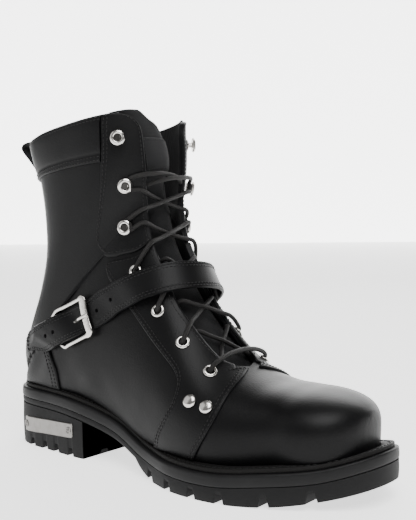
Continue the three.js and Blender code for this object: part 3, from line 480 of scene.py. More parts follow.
def turned(shape, profile, point, normal, sides=40):
    """A profile of (radius, height) turned round the normal at a point."""
    turn = 2 * np.pi * np.arange(sides) / sides
    normal = unit(normal)
    side = unit(np.cross([0, 0, 1.0], normal)) if abs(normal[2]) < 0.95 else np.array([1.0, 0, 0])
    spin = np.cos(turn)[:, None] * side + np.sin(turn)[:, None] * np.cross(normal, side)
    rings = point + profile[:, None, :1] * spin[None] + profile[:, None, 1:] * normal
    shape.add(rings, ring_quads(len(profile), sides))


def rounded(profile, radius, steps=2):
    """The profile with each inner corner cut by a small arc."""
    profile = np.asarray(profile, float)
    out = [profile[0]]
    for before, here, after in zip(profile, profile[1:], profile[2:]):
        a, b = unit(before - here), unit(after - here)
        r = min(radius, np.linalg.norm(before - here) * 0.45, np.linalg.norm(after - here) * 0.45)
        for t in np.linspace(0, 1, steps + 1):
            out.append(here + a * r * (1 - t) ** 2 + b * r * t ** 2)
    out.append(profile[-1])
    return np.array(out)


def stitches(shape, path, normals, pitch=0.0029, length=0.0022, thick=0.0006, sink=0.25):
    """A row of stitches: small ovals along a path, one at each pitch, sunk a little in the leather."""
    run = run_length(path)
    count = max(int(run[-1] / pitch), 1)
    at = (np.arange(count) + 0.5) * run[-1] / count
    centre = columns_at(run, path, at)
    normal = unit(columns_at(run, normals, at))
    along = unit(columns_at(run, path, at + 0.0004) - columns_at(run, path, at - 0.0004))
    side = np.cross(normal, along)
    centre = centre + normal * thick * (0.5 - sink)
    place = np.array([-1, -0.72, 0, 0.72, 1.0])
    swell = np.sqrt(np.maximum(1 - place ** 4, 0)) + 0.02
    turn = 2 * np.pi * (np.arange(6) + 0.5) / 6
    ring = (side[:, None] * np.cos(turn)[None, :, None] + normal[:, None] * np.sin(turn)[None, :, None])
    points = (centre[:, None, None] + along[:, None, None] * (length / 2 * place)[None, :, None, None]
              + ring[:, None] * (thick / 2 * swell)[None, :, None, None])
    caps = np.array([[0, 1, 2, 3], [0, 3, 4, 5], [27, 26, 25, 24], [29, 28, 27, 24]])
    block = np.concatenate([ring_quads(5, 6), caps])
    shape.add(points, block[None] + (np.arange(count) * 30)[:, None, None])


def sewn_row(shape, section, across, height, **stitch):
    """A row of stitches along places of the upper, at a height over its face with its folds."""
    stitches(shape, leather(section, across, height), face_normal(section, across), **stitch)


# Materials.


class Socket:
    """A node's output, with Python's operators adding Math nodes."""

    def __init__(self, look, link):
        self.look, self.link = look, link

    def math(self, operation, *others):
        return self.look.node("ShaderNodeMath", {"operation": operation}, [self, *others])

    def __add__(self, other):
        return self.math("ADD", other)

    def __radd__(self, other):
        return self.math("ADD", other)

    def __sub__(self, other):
        return self.math("SUBTRACT", other)

    def __rsub__(self, other):
        return self.look.node("ShaderNodeMath", {"operation": "SUBTRACT"}, [other, self])

    def __mul__(self, other):
        return self.math("MULTIPLY", other)

    def __rmul__(self, other):
        return self.math("MULTIPLY", other)

    def between(self, low, high, start=0.0, end=1.0):
        """This value carried smoothly from low..high to start..end."""
        return self.look.node("ShaderNodeMapRange", {"interpolation_type": "SMOOTHSTEP"},
                              [self, low, high, start, end])


class Look:
    """A material under construction: one Principled shader and the nodes that feed it."""

    def __init__(self, name, color, roughness, **constants):
        self.material = bpy.data.materials.new(name)
        self.material.use_nodes = True
        self.tree = self.material.node_tree
        self.shader = self.tree.nodes["Principled BSDF"]
        self.set("Base Color", (*color, 1))
        self.set("Roughness", roughness)
        for socket, value in constants.items():
            self.set(socket.replace("_", " ").title().replace("Ior", "IOR"), value)

    def set(self, socket, value):
        if isinstance(value, Socket):
            self.tree.links.new(value.link, self.shader.inputs[socket])
        else:
            self.shader.inputs[socket].default_value = value

    def node(self, kind, settings=None, values=(), output=0):
        """A node of this type: its settings first, then the values or links of its sockets, in order or by
        name."""
        node = self.tree.nodes.new(kind)
        for key, value in (settings or {}).items():
            setattr(node, key, value)
        pairs = values.items() if isinstance(values, dict) else enumerate(values)
        for key, value in pairs:
            if isinstance(value, Socket):
                self.tree.links.new(value.link, node.inputs[key])
            elif value is not None:
                node.inputs[key].default_value = value
        return Socket(self, node.outputs[output])

    def place(self, scale=(1, 1, 1)):
        """Object coordinates with each axis scaled."""
        where = self.node("ShaderNodeTexCoord", output="Object")
        return self.node("ShaderNodeMapping", values={"Vector": where, "Scale": scale})

    def noise(self, where, scale, detail=2.0, rough=0.5, distortion=0.0):
        return self.node("ShaderNodeTexNoise", values={
            "Vector": where, "Scale": scale, "Detail": detail, "Roughness": rough, "Distortion": distortion})

    def cells(self, where, scale):
        return self.node("ShaderNodeTexVoronoi", {}, {"Vector": where, "Scale": scale}, "Distance")

    def mix(self, share, first, second):
        """One colour into another by a share."""
        node = self.tree.nodes.new("ShaderNodeMix")
        node.data_type = "RGBA"
        for index, value in ((0, share), (6, first), (7, second)):
            if isinstance(value, Socket):
                self.tree.links.new(value.link, node.inputs[index])
            else:
                node.inputs[index].default_value = value if index == 0 else (*value, 1)
        return Socket(self, node.outputs[2])

    def finish(self, share, color, other, rough, height, distance):
        """Joins the varying colour, roughness and bump, and gives the material."""
        self.set("Base Color", self.mix(share, color, other))
        self.set("Roughness", rough)
        bump = self.node("ShaderNodeBump", values={"Strength": 1.0, "Distance": distance, "Height": height})
        self.set("Normal", bump)
        return self.material


def lighter(color, times, more=0.0):
    return tuple(c * times + more for c in color)


def leather_look(name, color, roughness=0.42, grain=900.0, depth=0.00012, coat=0.03):
    """Black smooth leather: small pebble grain, broad unevenness, and a polish that varies."""
    look = Look(name, color, roughness, coat_weight=coat, coat_roughness=0.35, specular_ior_level=0.12)
    where = look.place()
    broad = look.noise(where, 14.0, 3.0)
    pores = look.cells(where, grain)
    fine = look.noise(where, grain * 1.7, 2.0)
    wrinkle = look.noise(where, 160.0, 4.0, 0.62, 0.4)
    worn = broad.between(0.35, 0.7) * 0.5 + wrinkle.between(0.5, 0.8) * 0.25
    return look.finish(worn, color, lighter(color, 1.6, 0.001),
                       broad * 0.14 + fine * 0.08 + (roughness - 0.11),
                       pores * 0.55 + fine * 0.25 + wrinkle * 0.6, depth)


def rubber_look(name, color, roughness=0.62):
    """Moulded rubber: a fine matte skin with a little dust in its hollows."""
    look = Look(name, color, roughness, specular_ior_level=0.18)
    where = look.place()
    broad = look.noise(where, 30.0, 3.0)
    fine = look.noise(where, 1500.0, 2.0)
    return look.finish(broad.between(0.45, 0.8) * 0.5, color, lighter(color, 1.8, 0.003),
                       fine * 0.12 + broad * 0.1 + (roughness - 0.1), fine * 0.6 + broad * 0.6, 0.00009)


def weave_look(name, color, pitch=0.0007):
    """Plain woven cloth: two crossed waves of threads with fuzz."""
    look = Look(name, color, 0.9, specular_ior_level=0.15, sheen_weight=0.06, sheen_roughness=0.5)
    where = look.place()
    waves = {"Vector": where, "Scale": 0.314 / pitch, "Distortion": 1.2, "Detail": 1.0}
    across, along = (look.node("ShaderNodeTexWave", {"bands_direction": axis}, waves, "Fac")
                     for axis in "YZ")
    fuzz = look.noise(where, 1200.0, 3.0)
    threads = across * along
    return look.finish(threads.between(0.1, 0.9) * 0.6 + fuzz * 0.2, color, lighter(color, 2, 0.001),
                       fuzz * 0.1 + 0.82, threads + fuzz * 0.5, 0.00012)


def nickel_look(name, color, roughness=0.2):
    """Polished nickel with fine rubbing marks and dull spots."""
    look = Look(name, color, roughness, metallic=1.0)
    where = look.place()
    broad = look.noise(where, 220.0, 3.0)
    rub = look.noise(look.place((40, 900, 900)), 2.0, 2.0)
    return look.finish(broad.between(0.4, 0.75) * 0.5, color, lighter(color, 0.78),
                       broad * 0.14 + rub * 0.06 + (roughness - 0.08), rub * 0.5 + broad * 0.5, 0.00003)


def cord_look(name, color, strands=8.0, pitch=0.0022):
    """A waxed braided cord: two sets of diagonal strands in the UV map, which runs round it and along it."""
    look = Look(name, color, 0.5, specular_ior_level=0.2, sheen_weight=0.02)
    turn = look.node("ShaderNodeSeparateXYZ", values=[look.node("ShaderNodeTexCoord", output="UV")])
    along = Socket(look, turn.link.node.outputs[1])
    one = (turn * (strands * np.pi) + along * (2 * np.pi / pitch)).math("SINE")
    two = (turn * (strands * np.pi) - along * (2 * np.pi / pitch)).math("SINE")
    strand = one.math("ABSOLUTE").math("MAXIMUM", two.math("ABSOLUTE"))
    fuzz = look.noise(look.place(), 2500.0, 2.0)
    return look.finish(strand.between(0.4, 1) * 0.7 + fuzz * 0.2, color, lighter(color, 2.0, 0.002),
                       fuzz * 0.15 + 0.48, strand + fuzz * 0.3, 0.00025)


def thread_look(name, color):
    """Twisted waxed thread."""
    look = Look(name, color, 0.5, specular_ior_level=0.25)
    twist = look.noise(look.place(), 3000.0, 1.0)
    return look.finish(twist, color, lighter(color, 2, 0.002), 0.5, twist, 0.0001)


# The upper and what is laid on it.


def relief(section, across):
    """Soft folds of the leather: waves across the ankle behind the strap, and a shallow dip over the toe's
    flex line, all fading to nothing at the seams."""
    a = np.abs(across)
    ankle = np.exp(-((section - 14.2) / 2.3) ** 2) * np.exp(-((a - 0.72) / 0.2) ** 2)
    waves = np.sin(5.1 * section + 7.0 * a + 0.6 * np.sin(9 * a)) + 0.6 * np.sin(8.7 * section - 5 * a + 1.3)
    flex = np.exp(-((section - 7.9) / 0.45) ** 2) * np.exp(-(a / 0.35) ** 2)
    return 0.00035 * ankle * waves - 0.0005 * flex


def leather(section, across, height=0.0):
    """Points that stand height above the upper's face, folds included."""
    section, across = np.broadcast_arrays(np.asarray(section, float), np.asarray(across, float))
    return on_face(section, across, relief(section, across) + height)


def build_upper(look, lining):
    """The hollow upper: its outer face and its lining as two grids, a ladder of faces closing the toe, and
    strips along the sole, the throat and the rim."""
    start = THROAT[0, 0]
    sections = np.concatenate([np.linspace(0, start, 96), np.linspace(start, RIM_ROW, 150)[1:]])
    down = np.linspace(0, 1, 76)
    half = throat_half(sections)[:, None]
    share = half + (1 - half) * down
    across = np.concatenate([-share[:, ::-1], share], axis=1)
    rows, columns = across.shape
    grid_s = np.broadcast_to(sections[:, None], across.shape)
    outer = leather(grid_s, across)
    inner = leather(grid_s, across, -WALL)
    size = rows * columns
    index = np.arange(size).reshape(rows, columns)
    quads = grid_quads(rows, columns)
    open_rows = sections >= THROAT[0, 0] - 1e-9
    slit = (quads[:, 0] % columns == columns // 2 - 1) & open_rows[quads[:, 0] // columns]
    kept = quads[~slit]
    shape = Shape()
    rim = 5
    lift = np.linspace(0, np.pi, rim + 2)[1:-1]
    rolls = [outer[-1] * (0.5 + 0.5 * np.cos(t)) + inner[-1] * (0.5 - 0.5 * np.cos(t))
             + np.array([0, 0, 0.0011]) * np.sin(t) for t in lift]
    points = np.concatenate([outer.reshape(-1, 3), inner.reshape(-1, 3), *rolls])
    ladder = index[0, :columns // 2 - 1]
    facing = index[0, ::-1][:columns // 2 - 1]
    toe = np.stack([ladder, ladder + 1, facing - 1, facing], axis=1)
    parts = [kept[:, ::-1] + size, toe[:, ::-1] + size, kept, toe]
    lined = len(kept) + len(toe)

    def strip(line, other):
        parts.append(np.stack([line[:-1], line[1:], other[1:], other[:-1]], axis=1))

    foot = sections <= BACK_ROW + 1e-6
    for column in (index[:, 0], index[:, -1]):
        strip(column[foot], column[foot] + size)
    for column in (index[:, columns // 2 - 1], index[:, columns // 2]):
        strip(column[open_rows], column[open_rows] + size)
    ring = [2 * size + k * columns + np.arange(columns) for k in range(rim)]
    ring = [index[-1], *ring, index[-1] + size]
    for one, other in zip(ring, ring[1:]):
        for part in (slice(0, columns // 2), slice(columns // 2, columns)):
            strip(one[part], other[part])
    for column in (columns // 2 - 1, columns // 2):
        ends = [line[column] for line in ring]
        parts.append(np.array([[ends[0], ends[1], ends[5], ends[6]], [ends[1], ends[2], ends[4], ends[5]],
                               [ends[2], ends[3], ends[4], ends[4]]]))
    quads = np.concatenate(parts)
    shape.add(points, quads)
    shape.looks[-1] = (np.arange(len(quads)) < lined).astype(int)
    return shape.build("upper_leather", [look, lining], ["upper"], smooth=40)


class Patch:
    """A piece of leather laid on the upper between four edges, each a function of a share that gives
    (section, share down) pairs. A place inside blends the edges as a Coons patch."""

    def __init__(self, left, right, bottom, top, sign):
        self.left, self.right, self.bottom, self.top, self.sign = left, right, bottom, top, sign
        v = np.linspace(0, 1, 9)
        self.width = np.linalg.norm(self.point(v * 0, v) - self.point(v * 0 + 1, v), axis=1).mean()
        self.length = np.linalg.norm(np.diff(self.point(v * 0 + 0.5, v), axis=0), axis=1).sum()

    def place(self, u, v):
        """The section and share across of places inside."""
        shape = np.broadcast(u, v).shape
        u, v = np.broadcast_to(u, shape).ravel(), np.broadcast_to(v, shape).ravel()
        corner = [edge(np.array([end])) for edge in (self.bottom, self.top) for end in (0.0, 1.0)]
        u_, v_ = u[:, None], v[:, None]
        pair = ((1 - v_) * self.bottom(u) + v_ * self.top(u) + (1 - u_) * self.left(v) + u_ * self.right(v)
                - (1 - u_) * (1 - v_) * corner[0] - u_ * (1 - v_) * corner[1] - (1 - u_) * v_ * corner[2]
                - u_ * v_ * corner[3])
        return pair[:, 0].reshape(shape), self.sign * np.clip(pair[:, 1], 0, 1).reshape(shape)

    def point(self, u, v, height=0.0):
        return leather(*self.place(u, v), height)

    def shares(self, length, count):
        """Even steps from 0 to 1, with two close steps at each end for the rounded edge."""
        edge = np.array([0, 0.0003, 0.0009]) / length
        return np.concatenate([edge[:-1], np.linspace(edge[-1], 1 - edge[-1], count), 1 - edge[-2::-1]])

    def sheet(self, shape, step=0.0016, edge=0.0009):
        """Adds the leather, its edges rounded."""
        u = self.shares(self.width, max(int(self.width / step), 6))
        v = self.shares(self.length, max(int(self.length / step), 6))
        edge_u = np.minimum(u, 1 - u) * self.width / edge
        edge_v = np.minimum(v, 1 - v) * self.length / edge
        height = GAP + OVERLAY * round_edge(np.minimum(edge_u[None, :], edge_v[:, None]))
        shape.sheet(self.point(u[None, :], v[:, None], height),
                    self.point(u[None, :], v[:, None], GAP * 0.5))

    def seam(self, shape, side, distance, start, end):
        """A row of stitches at a distance inside one of the four edges."""
        t = np.linspace(start, end, 160)
        if side in ("left", "right"):
            inset = distance / np.linalg.norm(self.point(t * 0, t) - self.point(t * 0 + 1, t), axis=1)
            u, v = (inset, t) if side == "left" else (1 - inset, t)
        else:
            inset = distance / np.linalg.norm(self.point(t, t * 0) - self.point(t, t * 0 + 0.1), axis=1) / 10
            u, v = (t, inset) if side == "bottom" else (t, 1 - inset)
        sewn_row(shape, *self.place(u, v), GAP + OVERLAY)


def side_edge(rows, direct=()):
    """An edge from rows of (share, x, z) in the side view, the last two as shares of the sole's length and
    the boot's height, followed by rows of (share, section, share down)."""
    rows = np.array(rows, float)
    direct = np.array(direct, float).reshape(-1, 3)
    t = np.linspace(rows[0, 0], rows[-1, 0], 80)
    pairs = locate(columns_at(rows[:, 0], rows[:, 1:] * [SOLE_LENGTH, BOOT_HEIGHT], t, curve))
    if len(direct):
        more = np.linspace(direct[0, 0], direct[-1, 0], 80)
        t = np.concatenate([t, more])
        pairs = np.concatenate([pairs, columns_at(direct[:, 0], direct[:, 1:], more, curve)])
    return lambda share: columns_at(t, pairs, share)


def side_edge_direct(rows):
    """An edge from rows of (share, section, share down)."""
    rows = np.array(rows, float)
    return lambda share: columns_at(rows[:, 0], rows[:, 1:], share)


def welt_line(x):
    """The height of the welt's top at x, both as shares, with a gap over it."""
    return (midsole_top(x * SOLE_LENGTH) + WELT_THICKNESS + GAP) / BOOT_HEIGHT


def throat_edge(start, end, low, high):
    """An edge along the throat, from share start to end as the section goes from low to high."""
    t = np.linspace(0, 1, 60)
    sections = low + (high - low) * t
    return np.stack([start + (end - start) * t, sections, throat_half(sections) + 1e-4], axis=1)


STAY_TOP = 13.3
STAY_REAR = [
    [0, 0.534, welt_line(0.534)], [0.06, 0.548, 0.125], [0.13, 0.569, 0.165], [0.23, 0.598, 0.216],
    [0.3, 0.604, 0.258], [0.35, 0.597, 0.283], [0.41, 0.58, 0.306], [0.57, 0.515, 0.368],
    [0.73, 0.451, 0.439], [0.93, 0.377, 0.53], [1, 0.367, 0.562],
]
STAY_FRONT = [
    [0, 0.657, welt_line(0.657)], [0.1, 0.691, 0.158], [0.2, 0.708, 0.216], [0.26, 0.708, 0.257],
    [0.3, 0.7, 0.28], [0.34, 0.687, 0.293],
]
HOOK_STAY_FOOT = 13.47


def stay_patches(sign):
    """The eyelet stay and the hook stay of one side."""
    rear = side_edge(STAY_REAR)
    throat = throat_edge(0.4, 1, 9.03, STAY_TOP)
    front = side_edge(STAY_FRONT, [[0.36, 8.86, 0.09], *throat])
    x = np.linspace(STAY_REAR[0][1], STAY_FRONT[0][1], 12)
    bottom = side_edge(np.stack([np.linspace(0, 1, 12), x, welt_line(x)], axis=1))
    high = front(np.array([1.0]))[0]
    top = side_edge([[0, 0.367, 0.562], [0.1, 0.372, 0.578], [0.5, 0.41, 0.587], [0.8, 0.44, 0.596],
                     [0.92, 0.456, 0.612]], [[0.96, STAY_TOP + 0.02, 0.17], [1, high[0], high[1]]])
    eyelet_stay = Patch(rear, front, bottom, top, sign)
    hook_rear = side_edge(
        [[0, 0.3605, 0.612], [0.06, 0.3602, 0.635], [0.35, 0.369, 0.753], [0.65, 0.377, 0.865],
         [0.93, 0.3795, 0.97]],
        [[0.97, 22.87, 0.32], [1, RIM_ROW, 0.316]])
    hook_front = side_edge_direct(throat_edge(0, 1, HOOK_STAY_FOOT, RIM_ROW))
    hook_foot = side_edge(
        [[0, 0.3605, 0.612], [0.1, 0.364, 0.597], [0.22, 0.378, 0.5915], [0.55, 0.41, 0.6],
         [0.8, 0.439, 0.609], [0.92, 0.456, 0.626]],
        [[0.96, HOOK_STAY_FOOT + 0.02, 0.165], [1, HOOK_STAY_FOOT, float(throat_half(HOOK_STAY_FOOT))]])
    rim = side_edge_direct([[0, RIM_ROW, 0.316], [1, RIM_ROW, 0.2301]])
    return eyelet_stay, Patch(hook_rear, hook_front, hook_foot, rim, sign)


def build_stays(look, thread):
    """Eyelet and hook stays on both sides, with their double rows of stitching."""
    made = []
    for side, sign in (("lateral", -1), ("medial", 1)):
        eyelet_stay, hook_stay = stay_patches(sign)
        for name, patch in (("eyelet_stay", eyelet_stay), ("hook_stay", hook_stay)):
            shape = Shape()
            patch.sheet(shape)
            made.append(shape.build(f"{name}_leather_{side}", [look], [f"{name}_{side}"]))
        sewn = Shape()
        for inset in (0.0018, 0.0042):
            eyelet_stay.seam(sewn, "left", inset, 0.01, 0.985)
            eyelet_stay.seam(sewn, "right", inset, 0.01, 0.36)
            hook_stay.seam(sewn, "left", inset, 0.03, 0.99)
        eyelet_stay.seam(sewn, "right", 0.0018, 0.42, 0.99)
        eyelet_stay.seam(sewn, "top", 0.0018, 0.03, 0.95)
        hook_stay.seam(sewn, "right", 0.0018, 0.01, 0.99)
        hook_stay.seam(sewn, "bottom", 0.0018, 0.03, 0.97)
        made.append(sewn.build(f"stay_stitching_{side}", [thread], smooth=80))
    return made


COLLAR_LINE = np.array([[-0.05, 0.785], [0.137, 0.826], [0.276, 0.847], [0.374, 0.859]])


def build_collar(look, thread):
    """The padded collar: a band round the back between the hook stays, from a line in the side view to the
    rim, its cushion swelling as a flattened half circle between its seams."""
    turn = np.concatenate([np.linspace(0, 1, 90), np.linspace(1, 0, 90)[1:]])
    side = np.where(np.arange(len(turn)) < 90, -1.0, 1.0)
    rear = stay_patches(-1)[1].left(np.linspace(0, 1, 80))

    def around(s):
        """The share across at a section, from the hook stay's rear edge round the back."""
        edge = np.interp(s, rear[:, 0], rear[:, 1]) + 0.0015
        return side * (edge + (1 - edge) * turn)

    line = lambda x: BOOT_HEIGHT * np.interp(x / SOLE_LENGTH, COLLAR_LINE[:, 0], COLLAR_LINE[:, 1])

    def over(s):
        p = face_point(s, around(s))
        return p[:, 2] - line(p[:, 0])

    low = crossing(over, np.full(len(turn), 17.5), np.full(len(turn), float(RIM_ROW)))
    v = np.concatenate([[0, 0.008, 0.025], np.linspace(0.05, 0.95, 28), [0.975, 0.992, 1]])
    section = low[None] + (RIM_ROW - low[None]) * v[:, None]
    rise = np.clip((v - 0.19) / 0.81, 0, 1)
    swell = 0.0007 * (1 - np.abs(2 * rise - 1) ** 3) * (rise > 0) * (rise < 1)
    groove = 0.0004 * np.exp(-((v - 0.19) / 0.02) ** 2)
    height = GAP + OVERLAY * round_edge(np.minimum(v, 1 - v) / 0.025) + swell - groove
    shape = Shape()
    shape.sheet(leather(section, around(section), height[:, None]),
                leather(section, around(section), GAP * 0.5))
    piece = shape.build("collar_leather", [look], ["collar"])
    sewn = Shape()
    for share, thick in ((0.05, OVERLAY), (0.13, OVERLAY), (0.93, OVERLAY * 1.1)):
        s = low + (RIM_ROW - low) * share
        sewn_row(sewn, s, around(s), GAP + thick)
    return [piece, sewn.build("collar_stitching", [thread], smooth=80)]


def counter_grid(u, v):
    """Places on the heel counter: u runs round the back from one front edge to the other and v up from the
    welt. Each place is found from its angle round the heel and its height."""
    front = curve([0, 0.35, 0.75, 1], [0.201, 0.2, 0.18, 0.158], v)
    bend = np.abs(2 * u - 1)
    low_z = welt_line(np.interp(bend, [0, 0.5, 1], [0.03, 0.08, 0.2]))
    high_z = np.interp(bend, [0, 0.45, 1], [0.297, 0.33, 0.36])
    z = (low_z + (high_z - low_z) * v) * BOOT_HEIGHT
    pairs = locate(np.stack([front * SOLE_LENGTH, z], axis=-1))
    limit = heel_view(face_point(pairs[:, 0], -pairs[:, 1]))[:, 0]
    found = locate(np.stack([limit * bend, z], axis=-1), heel_view)
    return found[:, 0], np.where(u < 0.5, -1, 1) * found[:, 1]


def build_counter(look, thread):
    """The heel counter, a cap laid round the back of the heel."""
    count_u, count_v = 61, 21
    edge_u = np.concatenate([[0, 0.002, 0.006], np.linspace(0.012, 0.988, count_u - 6), [0.994, 0.998, 1]])
    edge_v = np.concatenate([[0, 0.01], np.linspace(0.03, 0.97, count_v - 4), [0.99, 1]])
    v, u = np.meshgrid(edge_v, edge_u, indexing="ij")
    section, across = counter_grid(u.ravel(), v.ravel())
    section, across = section.reshape(u.shape), across.reshape(u.shape)
    near = np.minimum(np.minimum(u, 1 - u) / 0.006, np.minimum(v, 1 - v) / 0.03)
    shape = Shape()
    shape.sheet(leather(section, across, GAP + OVERLAY * round_edge(near)),
                leather(section, across, GAP * 0.5))
    piece = shape.build("counter_leather", [look], ["counter"])
    sewn = Shape()
    for inset in (0.018, 0.04):
        for start, end in ((0.0, 0.5), (0.5, 1.0)):
            t = np.linspace(start + inset / 2, end - (inset / 2 if end == 1 else 0.004), 40)
            sewn_row(sewn, *counter_grid(t, np.full(40, 1 - inset * 2.2)), GAP + OVERLAY)
        for end in (inset, 1 - inset):
            sewn_row(sewn, *counter_grid(np.full(30, end), np.linspace(0.03, 0.95, 30)), GAP + OVERLAY)
    return [piece, sewn.build("counter_stitching", [thread], smooth=80)]


# The sole.


def outline(inset, x):
    """The sole's outline at stations x, moved inwards: the outer side from heel to toe and the inner side
    back again."""
    centre, half = sole_centre(x), sole_half(x)
    loop = np.concatenate([np.stack([x, centre - half], axis=1), np.stack([x, centre + half], axis=1)[::-1]])
    before, after = np.roll(loop, 1, axis=0), np.roll(loop, -1, axis=0)
    before[0], after[-1] = loop[-2], loop[1]
    before[len(x)], after[len(x) - 1] = loop[len(x) - 2], loop[len(x) + 1]
    along = unit(after - before)
    return np.stack([loop[:, 0] - along[:, 1] * inset, loop[:, 1] + along[:, 0] * inset], axis=1)


def sole_ring(inset, height, x):
    """The sole's outline at the stations x, moved inwards and lifted to a height function."""
    ring = outline(inset, x)
    return np.column_stack([ring, height(np.clip(ring[:, 0], 0, SOLE_LENGTH))])


def sole_stations(count=150, extra=()):
    """Stations from heel to toe, close together where the outline turns at its ends."""
    heel = 0.142 * SOLE_LENGTH * (1 - np.cos(np.radians(np.linspace(0, 84, 22))))
    toe = SOLE_LENGTH * (0.786 + 0.214 * np.sin(np.radians(np.linspace(6, 90, 34))))
    middle = np.linspace(0.13 * SOLE_LENGTH, 0.8 * SOLE_LENGTH, count)
    return np.unique(np.round(np.concatenate([heel, middle, toe, np.asarray(extra, float)]), 6))


def slab(shape, levels, x):
    """A layer of the sole: rings at levels of (inset, height function), with a ladder of faces closing its
    top and underside."""
    rings = [sole_ring(inset, height, x) for inset, height in levels]
    count = len(rings[0])
    ladder = np.arange(count // 2 - 1)
    facing = count - 1 - ladder
    low = np.stack([ladder, ladder + 1, facing - 1, facing], axis=1)
    high = low[:, ::-1] + (len(rings) - 1) * count
    shape.add(np.concatenate(rings), np.concatenate([ring_quads(len(rings), count), low, high]))


def build_midsole(look):
    """The midsole band, its top edge rounded and a fine groove run round it below the edge."""
    top, bottom = midsole_top, lambda x: midsole_top(x) - MIDSOLE_THICKNESS
    levels = [(0.0008, bottom), (0.0002, lambda x: bottom(x) + 0.0006), (0, lambda x: bottom(x) + 0.0014)]
    levels += [(0, lambda x: bottom(x) + 0.004), (0.0002, lambda x: top(x) - 0.0022)]
    for turn in np.radians([20, 40, 60, 80]):
        levels.append((0.0002 + 0.0018 * (1 - np.cos(turn)),
                       lambda x, t=turn: top(x) - 0.0018 + 0.0018 * np.sin(t)))
    levels.append((0.003, top))
    shape = Shape()
    slab(shape, levels, sole_stations())
    return shape.build("midsole_rubber", [look], ["midsole"], smooth=40)


def build_welt(look, thread):
    """The welt: a leather strip round the upper, with a sunk channel and a row of long stitches in it."""
    top = lambda x: midsole_top(x) + WELT_THICKNESS
    inset = WELT_INSET
    levels = [(inset, lambda x: midsole_top(x) + GAP), (inset - 0.0001, lambda x: top(x) - 0.0008),
              (inset + 0.0002, lambda x: top(x) - 0.0002), (inset + 0.0006, top), (inset + 0.0016, top),
              (inset + 0.002, lambda x: top(x) - 0.0005), (inset + 0.0032, lambda x: top(x) - 0.0005),
              (inset + 0.0036, top), (inset + 0.0052, top), (0.011, top)]
    x = sole_stations()
    levels += [(0.011, levels[0][1]), levels[0]]
    rings = [sole_ring(inward, height, x) for inward, height in levels]
    shape = Shape()
    shape.add(np.concatenate(rings), ring_quads(len(rings), len(rings[0])))
    piece = shape.build("welt_leather", [look], ["welt"])
    sewn = Shape()
    line = sole_ring(inset + 0.0026, lambda x: top(x) - 0.0005, x)
    line = np.concatenate([line, line[:1]])
    keep = np.concatenate([[True], np.linalg.norm(np.diff(line, axis=0), axis=1) > 1e-5])
    line = line[keep]
    up = np.tile([0, 0, 1.0], (len(line), 1))
    stitches(sewn, line, up, pitch=0.0042, length=0.0034, thick=0.0009, sink=0.1)
    return [piece, sewn.build("welt_stitching", [thread], smooth=80)]


NOTCHES = [0.53, 0.6, 0.67, 0.735, 0.82, 0.9]
HEEL_NOTCHES = [0.1, 0.15, 0.195, 0.25]
NOTCH_WIDTH = 0.005
NOTCH_DEPTH = 0.006
LUG_LENGTH = 0.0185
GROOVE_DEPTH = 0.0032


def lugged_stations(notches):
    """Stations with close ones at both sides of every notch."""
    return sole_stations(230, [share * SOLE_LENGTH + side * NOTCH_WIDTH * w for share in notches
                               for side in (-1, 1) for w in (0.35, 0.65)])


def lug_grid(x, y_share, edge_distance, notches):
    """How far the tread is hollowed at a place: the notches at both edges, a groove inside the edge lugs and
    a zigzag of grooves across the middle."""
    cut = np.zeros_like(x)
    for share in notches:
        near = np.abs(x - share * SOLE_LENGTH)
        wide = NOTCH_WIDTH / 2
        notch = np.clip((wide * 1.3 - near) / (wide * 0.6), 0, 1) * (edge_distance < LUG_LENGTH)
        cut = np.maximum(cut, notch)
    inner = np.clip(1 - np.abs(edge_distance - LUG_LENGTH) / 0.0016, 0, 1)
    wave = np.abs(((x + 0.35 * np.abs(y_share) * 0.05) / 0.0155) % 1 - 0.5) * 0.0155
    middle = np.clip((0.0018 - wave) / 0.0006, 0, 1) * (edge_distance > LUG_LENGTH)
    return np.maximum(cut * NOTCH_DEPTH, np.clip(np.maximum(inner * 1.5, middle), 0, 1) * GROOVE_DEPTH)


